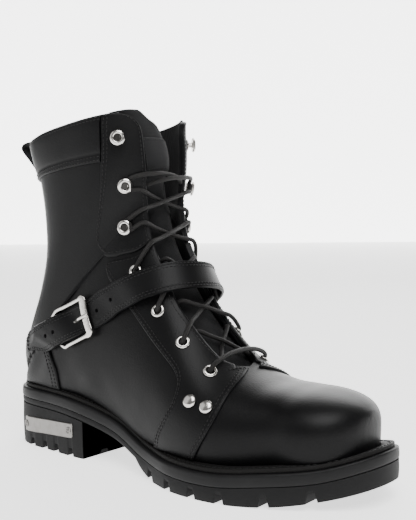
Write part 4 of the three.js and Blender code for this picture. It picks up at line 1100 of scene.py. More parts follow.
def tread(shape, x, bottom, top, notches):
    """One lugged block between the stations: its underside is a grid across the sole whose height is the
    tread's plus the lugs' hollows, its wall joins that grid's rim to the top, and its top is flat."""
    across = np.concatenate([[-1, -0.985, -0.96], np.linspace(-0.93, 0.93, 61), [0.96, 0.985, 1]])
    centre, half = sole_centre(x), np.maximum(sole_half(x) - 0.0012, 0)
    grid_x = np.broadcast_to(x[:, None], (len(x), len(across)))
    y = centre[:, None] + half[:, None] * across[None]
    edge = half[:, None] * (1 - np.abs(across[None]))
    low = bottom(grid_x)
    hollow = lug_grid(grid_x, across[None] + 0 * grid_x, edge, notches)
    z = np.minimum(low + hollow, top(grid_x) - 0.0015)
    under = np.stack([grid_x, y, z], axis=-1)
    rows, columns = grid_x.shape
    rim_low = np.concatenate([under[:, 0], under[::-1, -1]])
    x_loop = np.concatenate([x, x[::-1]])
    outward = np.concatenate([-np.ones(rows), np.ones(rows)])
    levels = []
    for share, out in ((0.25, 0.0006), (0.6, 0.0009), (1.0, 0.0006)):
        wall = rim_low.copy()
        wall[:, 2] = rim_low[:, 2] + (top(x_loop) - rim_low[:, 2]) * share
        wall[:, 1] += outward * out * np.minimum(np.concatenate([half, half[::-1]]) / 0.01, 1)
        levels.append(wall)
    size = rows * columns
    rim_index = np.concatenate([np.arange(rows) * columns, (np.arange(rows) * columns + columns - 1)[::-1]])
    points = np.concatenate([under.reshape(-1, 3), *levels])
    quads = [grid_quads(rows, columns)]
    ring = [rim_index] + [size + k * len(rim_index) + np.arange(len(rim_index)) for k in range(3)]
    for one, other in zip(ring, ring[1:]):
        for part in (slice(0, rows), slice(rows, 2 * rows)):
            a, b = one[part], other[part]
            quads.append(np.stack([a[:-1], a[1:], b[1:], b[:-1]], axis=1))
        for i, j in ((rows - 1, rows), (2 * rows - 1, 0)):
            quads.append(np.array([[one[i], one[j], other[j], other[i]]]))
    cap = ring[-1]
    ladder = np.arange(rows - 1)
    facing = 2 * rows - 1 - ladder
    quads.append(np.stack([cap[ladder], cap[ladder + 1], cap[facing - 1], cap[facing]], axis=1))
    shape.add(points, np.concatenate(quads))
    return under, levels


def build_outsole(look):
    """The outsole: the lugged forepart, running into the thin shank and the layer over the heel."""
    top = lambda x: midsole_top(x) - MIDSOLE_THICKNESS - GAP
    shape = Shape()
    tread(shape, lugged_stations(NOTCHES), lambda x: np.minimum(tread_bottom(x), top(x) - 0.004), top,
          NOTCHES)
    return shape.build("outsole_rubber", [look], ["outsole"], smooth=32)


def build_heel(look):
    """The heel block, its breast flat and its edges notched."""
    top = lambda x: shank_bottom(x) - GAP
    x = lugged_stations(HEEL_NOTCHES)
    x = np.append(x[x < HEEL_LENGTH - 0.002], HEEL_LENGTH - 0.0015)
    shape = Shape()
    under, levels = tread(shape, x, lambda x: np.zeros_like(x), top, HEEL_NOTCHES)
    low = under[-1]
    left, right = levels[-1][len(x) - 1], levels[-1][len(x)]
    high = left[None] + (right - left)[None] * ((low[:, 1] - low[0, 1]) / (low[-1, 1] - low[0, 1]))[:, None]
    shape.add(np.concatenate([low, high]), grid_quads(2, len(low)))
    return shape.build("heel_rubber", [look], ["heel_block"], smooth=32)


def build_insole(look):
    """The insole board, softly dished under the foot."""
    top = lambda x: midsole_top(x) + GAP + INSOLE_THICKNESS
    shape = Shape()
    slab(shape, [(INSOLE_INSET, lambda x: midsole_top(x) + GAP), (INSOLE_INSET, lambda x: top(x) - 0.0008),
                 (INSOLE_INSET + 0.0008, top)], sole_stations())
    return shape.build("insole_cloth", [look], ["insole"])


# The tongue.


# Section, half width as a share of the way round, depth of its middle under the lining, and how far its
# inner half falls back into the boot.
TONGUE = np.array([
    [8, 0.13, 0.5, 0], [9.4, 0.2, 3, 0], [11, 0.235, 6, 0], [13, 0.27, 8, 0], [17, 0.255, 9, 0],
    [18.4, 0.25, 6, 6], [19, 0.24, 1.5, 10], [20, 0.23, -1, 13], [21, 0.23, 0.5, 13], [22, 0.25, 4, 13],
    [RIM_ROW, 0.28, 8, 13],
])
TONGUE_FOLD_WIDTH = 0.11
# How far up the tongue reaches: share across, section.
TONGUE_TOP = np.array([
    [-0.28, RIM_ROW], [-0.05, RIM_ROW], [0, 22.3], [0.03, 21.8], [0.08, 21], [0.28, 20.5],
])


def tongue_half(section):
    """Half the tongue's width, as a share of the way round."""
    return curve(TONGUE[:, 0], TONGUE[:, 1], section)


def tongue_point(section, across, depth=0.0):
    """A place on the tongue's front, a share of the way round, with depth going into it."""
    s, across = np.broadcast_arrays(np.asarray(section, float), np.asarray(across, float))
    share = across / tongue_half(s)
    fall = np.clip(across / TONGUE_FOLD_WIDTH, 0, 1)
    middle, fold = (0.001 * curve(TONGUE[:, 0], TONGUE[:, k], s) for k in (2, 3))
    sunk = middle * (1 - share ** 2) + fold * fall
    return on_face(s, across, -(WALL + 2 * GAP) - sunk - depth)


def build_tongue(cloth, thread, label_look):
    """The padded tongue: a crowned front with quilted swells between sewn lines, a rolled top, and a back;
    and its blank woven label, sewn on its outer half."""
    low = TONGUE[0, 0]
    place = np.concatenate([np.linspace(low, RIM_ROW, 130), RIM_ROW + np.linspace(0, 1, 12)[1:]])
    place, share = np.meshgrid(place, np.linspace(-1, 1, 65), indexing="ij")
    over = np.maximum(place - RIM_ROW, 0)
    below = np.minimum(place, RIM_ROW)
    top = np.minimum(curve(TONGUE_TOP[:, 0], TONGUE_TOP[:, 1], share * tongue_half(below)), RIM_ROW)
    section = low + (below - low) * (top - low) / (RIM_ROW - low)
    across = share * tongue_half(section)
    crown = 1 - share ** 2
    full = TONGUE_EDGE + (TONGUE_THICKNESS - TONGUE_EDGE) * crown
    thick = full * round_edge((RIM_ROW + 1 - place) / 0.6, 0.35)
    swell = 0.0009 * np.abs(np.sin(np.pi * (section - low) / 3.75)) * crown ** 0.5
    seam = 0.0006 * np.exp(-((np.abs(share) - 0.8) / 0.06) ** 2)
    lower = section - 0.6
    upward = unit(tongue_point(section, across, 0) - tongue_point(lower, share * tongue_half(lower), 0))
    rise = (over * (TONGUE_RISE - TONGUE_ROUNDING * share ** 2))[..., None] * upward
    shape = Shape()
    shape.sheet(tongue_point(section, across, full / 2 - thick / 2 + 0.0009 - swell + seam) + rise,
                tongue_point(section, across, full / 2 + thick / 2) + rise)
    piece = shape.build("tongue_padded", [cloth], ["tongue"], smooth=60)
    patch = Shape()
    v, a = np.meshgrid(np.linspace(0, 1, 26), np.linspace(-0.113, 0.04, 30), indexing="ij")
    s = 19.25 + 2.35 * v
    edge = np.minimum(np.minimum(v, 1 - v) / 0.03, np.minimum(a + 0.113, 0.04 - a) / 0.005).clip(0, 1)
    patch.sheet(tongue_point(s, a, -0.0006 - 0.0006 * edge), tongue_point(s, a, 0.0006))
    label = patch.build("tongue_label_blank", [label_look], ["tongue_label"])
    sewn = Shape()
    corners = [(19.4, -0.105), (21.45, -0.105), (21.45, 0.033), (19.4, 0.033)]
    for k in (0, 2, 3, 1):
        first, last = sorted((corners[k], corners[(k + 1) % 4]))
        line_s, line_a = (np.linspace(*ends, 60) for ends in zip(first, last))
        stitches(sewn, tongue_point(line_s, line_a, -0.0012), face_normal(line_s, line_a), pitch=0.0022,
                 length=0.0016, thick=0.0005)
    return [piece, label, sewn.build("label_stitching", [thread], smooth=80)]


# The strap and its buckle.

# The strap's middle plane: a place on it, its slopes forwards and to the side, and how far it droops. Then
# its lifts over the face in millimetres at shares across, and the places of its holes.
STRAP_X, STRAP_Z, STRAP_SLOPE, STRAP_TILT, STRAP_DROOP = 0.314, 0.41, 0.42, 0.14, 0.003
STRAP_LIFTS = np.array([
    [-0.65, 2.9], [-0.62, 3.1], [-0.59, 4], [-0.56, 5.6], [-0.535, 6], [-0.51, 6.3], [-0.49, 5.9],
    [-0.475, 4.2], [-0.466, 2], [-0.457, 0.9], [-0.436, 0.8], [-0.415, 0.8], [-0.39, 1.3], [-0.365, 2.6],
    [-0.34, 3.8], [-0.28, 7.3], [-0.2, 7.8], [-0.1, 7.9], [0, 7.9], [0.1, 7.9], [0.2, 7.7], [0.28, 7.2],
    [0.34, 3.8], [0.37, 2.4], [0.4, 1.1], [0.45, 0.8], [0.53, 0.8],
])
STRAP_HOLES = [-0.361, -0.41, -0.498, -0.53]
BUCKLE_FRONT, BUCKLE_BACK, BUCKLE_FRONT_LEAN, BUCKLE_BACK_LEAN = -0.436, -0.513, 1.7, 2.2
BUCKLE_HALF, BUCKLE_FRONT_LIFT, BUCKLE_BACK_LIFT = 0.0134, 0.0047, 0.0034


def strap_place(across, rise):
    """The section where the strap's sloping plane, moved by rise along the strap's width, meets the upper at
    a share across. The plane tilts down to the inner side, and the strap sinks at the buckle."""
    across, rise = np.broadcast_arrays(np.asarray(across, float), np.asarray(rise, float))
    droop = np.clip((-0.36 - across) / 0.07, 0, 1)
    droop = STRAP_DROOP * droop * droop * (3 - 2 * droop)
    steep = np.sqrt(1 + STRAP_SLOPE ** 2 + STRAP_TILT ** 2)

    def above(section):
        point = face_point(section, across)
        level = (STRAP_Z * BOOT_HEIGHT + STRAP_SLOPE * (point[..., 0] - STRAP_X * SOLE_LENGTH)
                 - STRAP_TILT * point[..., 1] - droop)
        return (point[..., 2] - level) / steep - rise

    return crossing(above, np.full(across.shape, 9.0), np.full(across.shape, float(RIM_ROW))), across


def on_strap(across, rise, height=0.0):
    """Points that stand height over the face under the strap."""
    return on_face(*strap_place(across, rise), height)


def strap_lift(across):
    """The height of the strap's back over the face."""
    return 0.001 * curve(STRAP_LIFTS[:, 0], STRAP_LIFTS[:, 1], across)


def strap_half(across):
    """Half the strap's width: full, but for the free end's half round."""
    return STRAP_WIDTH / 2 * np.clip(1 - np.clip((-0.6 - across) / 0.0502, 0, 1) ** 2.6, 0.0, 1) ** 0.5


def build_strap(look, thread):
    """The ankle strap: a band in a sloping plane with rounded edges, punched holes, and a row of stitches
    along both edges and round its free end."""
    far = np.linspace(-0.65, 0.53, 300)
    near = [hole + np.linspace(-0.006, 0.006, 19) for hole in STRAP_HOLES]
    across = np.unique(np.round(np.concatenate([far, *near]), 5))
    side = np.linspace(0, 1, 15) ** 0.8
    width = np.unique(np.round(np.concatenate([-side, side, np.linspace(-0.2, 0.2, 19)]), 4))
    half = strap_half(across)[:, None]
    grid_a = np.broadcast_to(across[:, None], (len(across), len(width)))
    section = strap_place(grid_a, width[None] * half)[0]
    edge = (1 - np.abs(width))[None] * STRAP_WIDTH / 2 / 0.0009
    profile = round_edge(np.minimum(edge, np.clip((across[:, None] + 0.6502) / 0.004, 0, 1)), 0.35)
    lift = strap_lift(across)[:, None]
    channel = 0.0002 * np.exp(-(((1 - np.abs(width)) * STRAP_WIDTH / 2 - 0.0026) / 0.0006) ** 2)[None]
    top = lift + STRAP_THICKNESS * profile - channel
    front = on_face(section, grid_a, top)
    for hole in STRAP_HOLES:
        centre = on_strap(np.array(hole), np.array(0.0), float(strap_lift(hole)) + STRAP_THICKNESS)
        distance = np.linalg.norm(front - centre, axis=-1)
        pit = np.clip((0.00145 - distance) / 0.0003, 0, 1)
        front = front - face_normal(section, grid_a) * (pit * 0.0016)[..., None]
    back = on_face(section, grid_a, lift + STRAP_THICKNESS * (0.5 - profile * 0.5))
    shape = Shape()
    shape.sheet(front, back)
    piece = shape.build("strap_leather", [look], ["strap"])
    sewn = Shape()
    for inset in (0.0019, 0.0039):
        a = np.linspace(-0.6, 0.525, 400)
        keep_off = np.abs(a - BUCKLE_FRONT) > 0.017
        for sign in (-1, 1):
            rise = sign * (STRAP_WIDTH / 2 - inset)
            for part in np.split(np.arange(len(a)), np.where(np.diff(keep_off.astype(int)) != 0)[0] + 1):
                if len(part) < 8 or not keep_off[part[len(part) // 2]]:
                    continue
                strap_stitches(sewn, a[part], rise)
        turn = np.radians(np.linspace(-90, 90, 40))
        end_a = -0.6 - (0.0495 - inset * 4.6) * np.abs(np.cos(turn)) ** 0.8
        strap_stitches(sewn, end_a, (STRAP_WIDTH / 2 - inset) * np.sin(turn))
    return [piece, sewn.build("strap_stitching", [thread], smooth=80)]


def strap_stitches(shape, across, rise):
    """A row of stitches on the strap's front."""
    section, across = strap_place(across, rise)
    stitches(shape, on_face(section, across, strap_lift(across) + STRAP_THICKNESS),
             face_normal(section, across))


def smooth_loop(points, count):
    """count points at even steps round a smooth closed curve through the given ones."""
    padded = np.concatenate([points[-3:], points, points[:3]])
    length = run_length(padded)
    return columns_at(length, padded, np.linspace(length[3], length[3 + len(points)], count + 1)[:-1], curve)


def on_buckle(along, rise, lift):
    """A spot of the buckle: along is 0 at its front bar and 1 at its hinge bar."""
    front = BUCKLE_FRONT + BUCKLE_FRONT_LEAN * rise
    back = BUCKLE_BACK + BUCKLE_BACK_LEAN * rise
    return on_strap(front + (back - front) * along, rise, lift)


def build_buckle(metal, look):
    """The buckle: a flat-faced frame carried round a loop, wide at its front bar and narrow at its legs, a
    prong bent over the bar, and the leather tab that holds the hinge bar."""
    turn = BUCKLE_HALF - 0.0022
    upper = np.array([(0, 0.006), (0, turn), (0.035, BUCKLE_HALF - 0.0005), (0.09, BUCKLE_HALF),
                      (0.35, BUCKLE_HALF), (0.65, BUCKLE_HALF), (0.95, BUCKLE_HALF), (1, turn)])
    lower = upper[::-1] * [1, -1]
    spots = np.concatenate([lower[-2:], [(0, 0)], upper, [(1, 0)], lower[:-2]])
    stretch = [0.026, 1]
    along, rise = (smooth_loop(spots * stretch, 160) / stretch).T
    lift = BUCKLE_FRONT_LIFT + (BUCKLE_BACK_LIFT - BUCKLE_FRONT_LIFT) * along
    path = on_buckle(along, rise, lift)
    s, a = strap_place(BUCKLE_FRONT + (BUCKLE_BACK - BUCKLE_FRONT) * along, rise)
    ups = face_normal(s, a)
    side, up = path_frames(path, ups, True)[1:]
    wide = 0.0026 + 0.0036 * np.clip(1 - along / 0.14, 0, 1)
    c, n = oval(2 * np.pi * np.arange(20) / 20, 4)
    ring = side[:, None] * (wide[:, None] / 2 * c[None])[..., None]
    ring = ring + up[:, None] * (0.0011 * n)[None, :, None]
    points = path[:, None] + ring
    points = np.concatenate([points, points[:1]])
    shape = Shape()
    shape.add(points, ring_quads(len(points), 20))
    made = [shape.build("buckle_metal", [metal], ["buckle_frame"], smooth=45)]
    prong = np.array([[1.02, 4.8], [0.9, 4.2], [0.7, 2.6], [0.55, 2.5], [0.44, 2.6], [0.32, 3.6], [0.2, 5.6],
                      [0.1, 6.7], [0, 6.8], [-0.08, 6.4]])
    line = smooth_path(on_buckle(prong[:, 0], np.zeros(len(prong)), prong[:, 1] * 0.001), 60)
    shape = Shape()
    tube(shape, line, 0.0026, 0.0019, 14, np.broadcast_to(unit(ups[:1]), line.shape))
    made.append(shape.build("buckle_prong_metal", [metal], ["buckle_prong"], smooth=45))
    grid_a, grid_w = np.meshgrid(np.linspace(-0.565, -0.495, 30), np.linspace(-1, 1, 17), indexing="ij")
    edge = np.minimum((1 - np.abs(grid_w)) * 9, 1)
    rise = 0.009 * grid_w
    shape = Shape()
    shape.sheet(on_strap(grid_a, rise, GAP + 0.0012 * (0.4 + 0.6 * edge)), on_strap(grid_a, rise, GAP * 0.7))
    made.append(shape.build("buckle_tab_leather", [look], ["buckle_chape"]))
    return made


# The pull loop, the metal fittings and the heel plate.

PULL_LOOP = np.array([[24.3, 207], [15, 215], [5, 225], [-2.5, 232], [-4.5, 235.5], [-2, 238.3], [5, 239.3],
                      [13, 239.8], [21, 240], [25.5, 238], [28.5, 232], [30.6, 225], [31.8, 219]]) * 0.001
PULL_LOOP_WIDTH = 0.022


def build_pull_loop(cloth):
    """The webbing pull loop: a soft round band carried along its side view, behind the collar, over the rim
    and down the inside."""
    points = np.stack([PULL_LOOP[:, 0], np.zeros(len(PULL_LOOP)), PULL_LOOP[:, 1]], axis=1)
    path = smooth_path(points, 90)
    along = unit(np.gradient(path, axis=0))
    ups = unit(np.cross(along, [0, 1.0, 0]))
    width = np.linspace(-1, 1, 25)
    edge = np.sqrt(np.clip(1 - np.abs(width) ** 8, 0, 1))
    soften = 0.0003 * np.sin(np.linspace(0, 9, 90))[:, None] * np.cos(np.pi * width / 2)[None]
    base = path[:, None] + np.array([0, 1.0, 0]) * (width * PULL_LOOP_WIDTH / 2)[None, :, None]
    rib = 0.00008 * np.cos(width * 40)[None]
    high = (0.0008 * (0.3 + 0.7 * edge))[None] + rib + soften
    low = -(0.0008 * (0.3 + 0.7 * edge))[None] + soften
    shape = Shape()
    shape.sheet(base + ups[:, None] * high[..., None], base + ups[:, None] * low[..., None])
    return shape.build("pull_loop_webbing", [cloth], ["pull_loop"], smooth=60)


def build_hardware(metal, painted_recess_shade):
    """Eyelets, speed hooks and rivets, each a profile turned round the upper's normal; each hook's hollow is
    lined with darkened nickel, painted shade.
    """
    made = []
    seat = 3 * GAP + OVERLAY
    bore, barrel, flange = EYELET_BORE / 2, EYELET_BARREL / 2, EYELET_DIAMETER / 2
    eyelet = [(bore, -0.0015), (barrel, -0.0015), (barrel, seat), (flange, seat), (flange, seat + 0.0003),
              (flange - 0.0005, seat + 0.0009), ((bore + flange) / 2, seat + 0.0012),
              (bore + 0.0006, seat + 0.0009), (bore, seat + 0.0002), (bore, -0.0015)]
    cap = HOOK_DIAMETER / 2
    hook = [(0, seat), (0.0043, seat), (0.0043, seat + 0.0005), (0.0036, seat + 0.0009),
            (0.002, seat + 0.001), (0.0018, seat + 0.0016), (0.0018, seat + 0.0038),
            (0.0024, seat + 0.0043), (cap - 0.0012, seat + 0.0042),
            (cap - 0.0002, seat + 0.0045), (cap, seat + 0.005), (cap - 0.0003, seat + 0.0056),
            (cap - 0.0012, seat + 0.0062), (cap - 0.0021, seat + 0.0063), (cap - 0.0027, seat + 0.0059),
            (cap - 0.003, seat + 0.0049), (0.0015, seat + 0.0046), (0.001, seat + 0.0051),
            (0, seat + 0.0052)]
    dome = RIVET_DIAMETER / 2
    rivet = [(0, seat), (dome, seat), (dome, seat + 0.0004), (dome - 0.0003, seat + 0.0009),
             (dome - 0.001, seat + 0.0015), (dome - 0.002, seat + 0.0019), (dome - 0.0032, seat + 0.0021),
             (0, seat + 0.0022)]
    kinds = (("eyelet", EYELETS, eyelet), ("hook", HOOKS, hook), ("rivet", RIVETS, rivet))
    for kind, places, profile in kinds:
        for side, sign in (("lateral", -1), ("medial", 1)):
            for count, (section, across) in enumerate(places, 1):
                s, a = np.array(section), np.array(sign * across)
                point, normal = on_face(s, a), face_normal(s, a)
                shape = Shape()
                turned(shape, rounded(profile, 0.00025), point, normal)
                if kind == "hook":
                    throat = flatten(shape, point, normal, sign)
                    # A tube of darkened nickel in the hollow under the hook's cap: painted shade.
                    levels = seat + np.array([0.0044, 0.0048, 0.0052, 0.0056])[:, None]
                    pit = point - throat * 0.0004 + normal * levels
                    tube(shape, pit, 0.0044, 0.0038, 24, np.broadcast_to(throat, pit.shape), 1, False, 4)
                made.append(shape.build(f"{kind}_metal_{side}_{count}", [metal, painted_recess_shade],
                                        [f"{kind}_{side}_{count}"]))
    return made


def flatten(shape, point, normal, sign):
    """Presses the throat side of a hook's cap flat, which leaves a D with two corners."""
    points = shape.points[-1]
    throat = unit(np.cross(normal, [0, 0, 1.0]) * -sign)
    throat = unit(throat - normal * throat.dot(normal))
    if throat[1] * sign > 0:
        throat = -throat
    away = (points - point) @ throat
    height = (points - point) @ normal
    over = np.where(height > 3 * GAP + OVERLAY + 0.0035, np.maximum(away - 0.0036, 0), 0)
    points -= throat * (over * 0.9)[:, None]
    return throat


def build_heel_plate(metal, painted_slot_shade):
    """The blank satin plate on the heel's outer side, its corners rounded, with a cross-head screw in a turned
    ring at each end. Each screw's cross is two black bars of painted shade."""
    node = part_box("heel_plate")
    start, end = node[0].x - ORIGIN[0], node[1].x - ORIGIN[0]
    x = np.linspace(start + 0.0001, end - 0.0001, 70)
    v = np.linspace(0, 1, 21)
    low, high = 0.009 + 0.06 * x, 0.0215 + 0.045 * x
    t = (x - start) / (end - start)
    from_end = np.minimum(t, 1 - t) * (end - start)
    corner = 0.0025
    pull = corner - np.sqrt(np.clip(corner ** 2 - np.maximum(corner - from_end, 0) ** 2, 0, None))
    low, high = low + pull, high - pull
    z = low[:, None] + (high - low)[:, None] * v[None]
    y = sole_centre(x) - sole_half(x)
    edge = round_edge(np.minimum(np.minimum(v, 1 - v)[None] * 0.012, from_end[:, None]) / 0.0007, 0)
    slope = np.gradient(y, x)
    out = unit(np.stack([slope, -np.ones_like(x), 0 * x], axis=1))
    base = np.stack(np.broadcast_arrays(x[:, None], y[:, None], z), axis=-1)
    front = base + out[:, None] * (-0.0003 + 0.0008 * edge)[..., None]
    back = base + out[:, None] * -0.0006
    shape = Shape()
    shape.sheet(front, back)
    made = [shape.build("heel_plate_metal", [metal], ["heel_plate"])]
    for end_name in ("rear", "front"):
        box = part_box(f"heel_plate_screw_{end_name}")
        point = np.array((box[0] + box[1]) / 2) - ORIGIN
        normal = unit(np.array([np.interp(point[0], x, slope), -1, 0]))
        point = np.array([point[0], np.interp(point[0], x, y), point[2]]) + normal * 0.0005
        shape = Shape()
        screw = [(0, 0), (0.0027, 0), (0.0027, 0.0004), (0.0023, 0.0007), (0.0018, 0.0006), (0.0017, 0.0002),
                 (0.0015, 0.0003), (0.0012, 0.0006), (0, 0.0007)]
        turned(shape, rounded(screw, 0.00015), point, normal, 32)
        side = np.cross(normal, [0, 0, 1.0])
        # The cross's slots are black bars standing on the head: painted shade.
        for spin in (0.6, 0.6 + np.pi / 2):
            bar = side * np.cos(spin) + np.array([0, 0, 1.0]) * np.sin(spin)
            path = point + normal * 0.00062 + bar * np.linspace(-0.0009, 0.0009, 5)[:, None]
            tube(shape, path, 0.0003, 0.0002, 8, np.broadcast_to(normal, path.shape), look=1)
        made.append(shape.build(f"heel_screw_{end_name}", [metal, painted_slot_shade],
                                [f"heel_plate_screw_{end_name}"]))
    return made


# The lace.

# Each end of the lace from its top hook to where it tucks in behind the opposite side: section, share
# across, height over the face in millimetres. The same rows as those of the solids.
LACE_END_LATERAL = np.array([
    [19.4, -0.222, 4.6], [19.42, -0.2, 5.1], [19.37, -0.175, 5.4], [19.3, -0.15, 5.5], [19.22, -0.13, 5.4],
    [19.14, -0.11, 5], [19.08, -0.09, 4.5], [19.04, -0.07, 3.9], [19.01, -0.05, 3.2], [18.97, -0.03, 2.4],
    [18.93, -0.01, 1.7], [18.88, 0.01, 1], [18.84, 0.035, 0.5], [18.81, 0.06, -0.1], [18.78, 0.09, -0.6],
    [18.75, 0.117, -1.1],
])
LACE_END_MEDIAL = np.array([
    [19.42, 0.221, 4.6], [19.41, 0.2, 5.1], [19.33, 0.175, 5.4], [19.23, 0.15, 5.5], [19.12, 0.13, 5.5],
    [19.02, 0.11, 5.5], [18.93, 0.09, 5.4], [18.84, 0.07, 5.3], [18.77, 0.05, 5.1], [18.7, 0.03, 4.8],
    [18.65, 0.01, 4.4], [18.6, -0.01, 4], [18.55, -0.035, 3.3], [18.52, -0.06, 2.2], [18.51, -0.088, 0.7],
    [18.5, -0.116, -0.8],
])


def lace_route(rows):
    """Points from rows of section, share across and height in millimetres."""
    rows = np.asarray(rows, float)
    return on_face(rows[:, 0], rows[:, 1], rows[:, 2] * 0.001)


def hook_turn(section, across, start, end, height=5.0, radius=3.5):
    """Points round a hook's shank, from one turn to another in degrees: 0 is towards the toe along the
    section's line, and 90 away from the throat."""
    s, a = np.array(float(section)), np.array(float(across))
    centre, normal = on_face(s, a, height * 0.001), face_normal(s, a)
    up = unit(face_point(s + 0.05, a) - face_point(s - 0.05, a))
    up = unit(up - normal * up.dot(normal))
    out = np.cross(normal, up)
    out = out * np.sign(out[1] * np.sign(across))
    turns = np.radians(np.linspace(start, end, 9))
    return centre + radius * 0.001 * (np.cos(turns)[:, None] * up + np.sin(turns)[:, None] * out)


def taut(start, end, offset, count=5):
    """Points of a straight run from one place to another, each (section, share, millimetres), its middle
    moved out by offset in millimetres, so that one run passes over another."""
    first, last = lace_route([start])[0], lace_route([end])[0]
    t = np.linspace(0, 1, count)[:, None]
    out = unit(face_normal(*np.array([start[:2]]).T)[0] + face_normal(*np.array([end[:2]]).T)[0])
    return first * (1 - t) + last * t + out * (0.001 * offset * np.sin(np.pi * t) ** 2)


def out_of_eyelet(section, across, sign):
    """Up through an eyelet, and over towards the throat."""
    return lace_route([[section, sign * across, -6], [section, sign * across, -2],
                       [section, sign * across, 2.4], [section + 0.02, sign * (across - 0.014), 4.9]])


def lace_runs():
    """The lace outside the boot: a bar at the lowest eyelets, a crossing that comes out under both edges,
    then on each side a run from each eyelet to under the opposite edge, and from the top eyelets round the
    opposite hooks."""
    runs = [lace_route([[9.27, -0.2, -6], [9.27, -0.2, -2], [9.27, -0.2, 2.5], [9.27, -0.187, 5.0],
                        [9.27, -0.15, 5.8], [9.27, -0.08, 5.6], [9.27, 0, 5.5], [9.27, 0.08, 5.6],
                        [9.27, 0.15, 5.8], [9.27, 0.187, 5.0], [9.27, 0.2, 2.5], [9.27, 0.2, -2],
                        [9.27, 0.2, -6]])]
    for sign in (-1, 1):
        middle = taut((9.35, sign * 0.094, -1), (10.2, sign * -0.12, -1), sign * 1.7)
        runs.append(np.concatenate([lace_route([[9.28, sign * 0.15, -4.6]]), middle,
                                    lace_route([[10.35, sign * -0.17, -4.6]])]))
        for (section, across), end, over in ((EYELETS[1], 11.0, 1), (EYELETS[2], 12.4, -1)):
            brow = section + (end - section) * 0.2
            runs.append(np.concatenate([
                out_of_eyelet(section, across, sign),
                taut((brow, sign * (float(throat_half(brow)) + 0.012), 4.6), (end, sign * -0.122, 0.2),
                     1.2 * sign * over),
                lace_route([[end + 0.1, sign * -0.155, -3.2], [end + 0.2, sign * -0.21, -5.4]])]))
        section, across = EYELETS[3]
        low, high = HOOKS[0], HOOKS[1]
        runs.append(np.concatenate([
            out_of_eyelet(section, across, sign),
            taut((13.35, sign * 0.162, 4.8), (14.6, sign * -0.162, 4.8), -1.7 * sign),
            hook_turn(low[0], -sign * low[1], 215, 395),
            taut((16.5, sign * -0.16, 4.8), (18.5, sign * 0.16, 4.8), 1.7 * sign),
            hook_turn(high[0], sign * high[1], 215, 395)]))
    return runs


def build_lace_ends(look, diameter):
    """The lace's two free ends, cords that run from the top hooks across the tongue, one over the other."""
    made = []
    for side, rows in (("lateral", LACE_END_LATERAL), ("medial", LACE_END_MEDIAL)):
        path = smooth_path(lace_route(rows), 90)
        shape = Shape()
        ups = face_normal(rows[:1, 0], rows[:1, 1]).repeat(90, axis=0)
        tube(shape, path, diameter, diameter * 0.9, 18, ups)
        piece = shape.build(f"lace_end_cord_{side}", [look], [f"lace_end_{side}"], smooth=80)
        made.append(piece)
    return made


def build_lace(look, diameter):
    """The laced-up rest of the lace: it bends out of each eyelet, lies taut over the tongue, and dips in
    under the opposite edge or turns round the shank of a hook."""
    shape = Shape()
    for run in lace_runs():
        path = smooth_path(run, 14 * len(run))
        tube(shape, path, diameter, diameter * 0.92, 18)
    nodes = ["lace_bar", "lace_crossing_inner", *(f"lace_crossing_{i}" for i in range(1, 5))]
    return shape.build("lace_cord", [look], nodes, smooth=80)


# The stage.

CAMERA_PLACE = (0.5473, -0.4474, 0.1714)
CAMERA_AIM = (0.105419, 0.094692, 0.141145)
CAMERA_ROLL = np.radians(-0.696)
CAMERA_LENS = 57.59


def build_camera():
    """The camera at the photograph's viewing angle."""
    data = bpy.data.cameras.new("photo_camera")
    data.lens, data.sensor_width, data.clip_start = CAMERA_LENS, 36.0, 0.02
    camera = add_object("photo_camera", data)
    place = Vector(CAMERA_PLACE) + Vector(ORIGIN)
    back = (place - Vector(CAMERA_AIM) - Vector(ORIGIN)).normalized()
    right = Vector((0, 0, 1)).cross(back).normalized()
    up = back.cross(right)
    turned_right = right * np.cos(CAMERA_ROLL) + up * np.sin(CAMERA_ROLL)
    turned_up = back.cross(turned_right)
    camera.matrix_world = Matrix((turned_right, turned_up, back)).transposed().to_4x4()
    camera.location = place
    bpy.context.scene.camera = camera


def area_light(name, place, aim, size, power):
    """A soft oblong light that faces a point over the middle of the floor."""
    data = bpy.data.lights.new(name, "AREA")
    data.shape, data.size, data.size_y, data.energy = "RECTANGLE", size[0], size[1], power
    light = add_object(name, data)
    light.location = place
    light.rotation_euler = (Vector(place) - Vector((0, 0, aim))).to_track_quat("Z", "Y").to_euler()


def glowing_board(name, corners, color, glow, **constants):
    """A plain board of the stage that also gives off light."""
    mesh = bpy.data.meshes.new(name)
    mesh.from_pydata(corners, [], [(0, 1, 2, 3)])
    look = Look(f"{name}_paint", color, emission_color=(1, 1, 1, 1), emission_strength=glow, **constants)
    mesh.materials.append(look.material)
    add_object(name, mesh)


def build_stage(floor_color, key, fill, ambient):
    """A plain pale floor, a pale surround and soft lights."""
    glowing_board("floor", [(-9, -9, 0), (9, -9, 0), (9, 9, 0), (-9, 9, 0)], floor_color, 1.6,
                  roughness=0.85, specular_ior_level=0.2)
    glowing_board("backdrop", [(-9, 3, 0), (-9, 3, 6), (3, 9, 6), (3, 9, 0)], floor_color, 4.2,
                  roughness=0.9)
    area_light("key_light", (0.7, -0.5, 1.3), 0.12, (1.1, 1.1), key)
    area_light("fill_light", (-0.9, -1.0, 0.8), 0.12, (1.4, 1.4), fill)
    area_light("rim_light", (-0.3, 1.2, 1.1), 0.15, (1.2, 0.8), fill)
    world = bpy.data.worlds.new("studio")
    world.use_nodes = True
    background = world.node_tree.nodes["Background"]
    background.inputs["Color"].default_value = (1, 1, 1, 1)
    background.inputs["Strength"].default_value = ambient
    bpy.context.scene.world = world


# The add-on.


def color_property(name, value, description):
    return FloatVectorProperty(name=name, description=description, subtype="COLOR", size=3, min=0, max=1,
                               default=value)


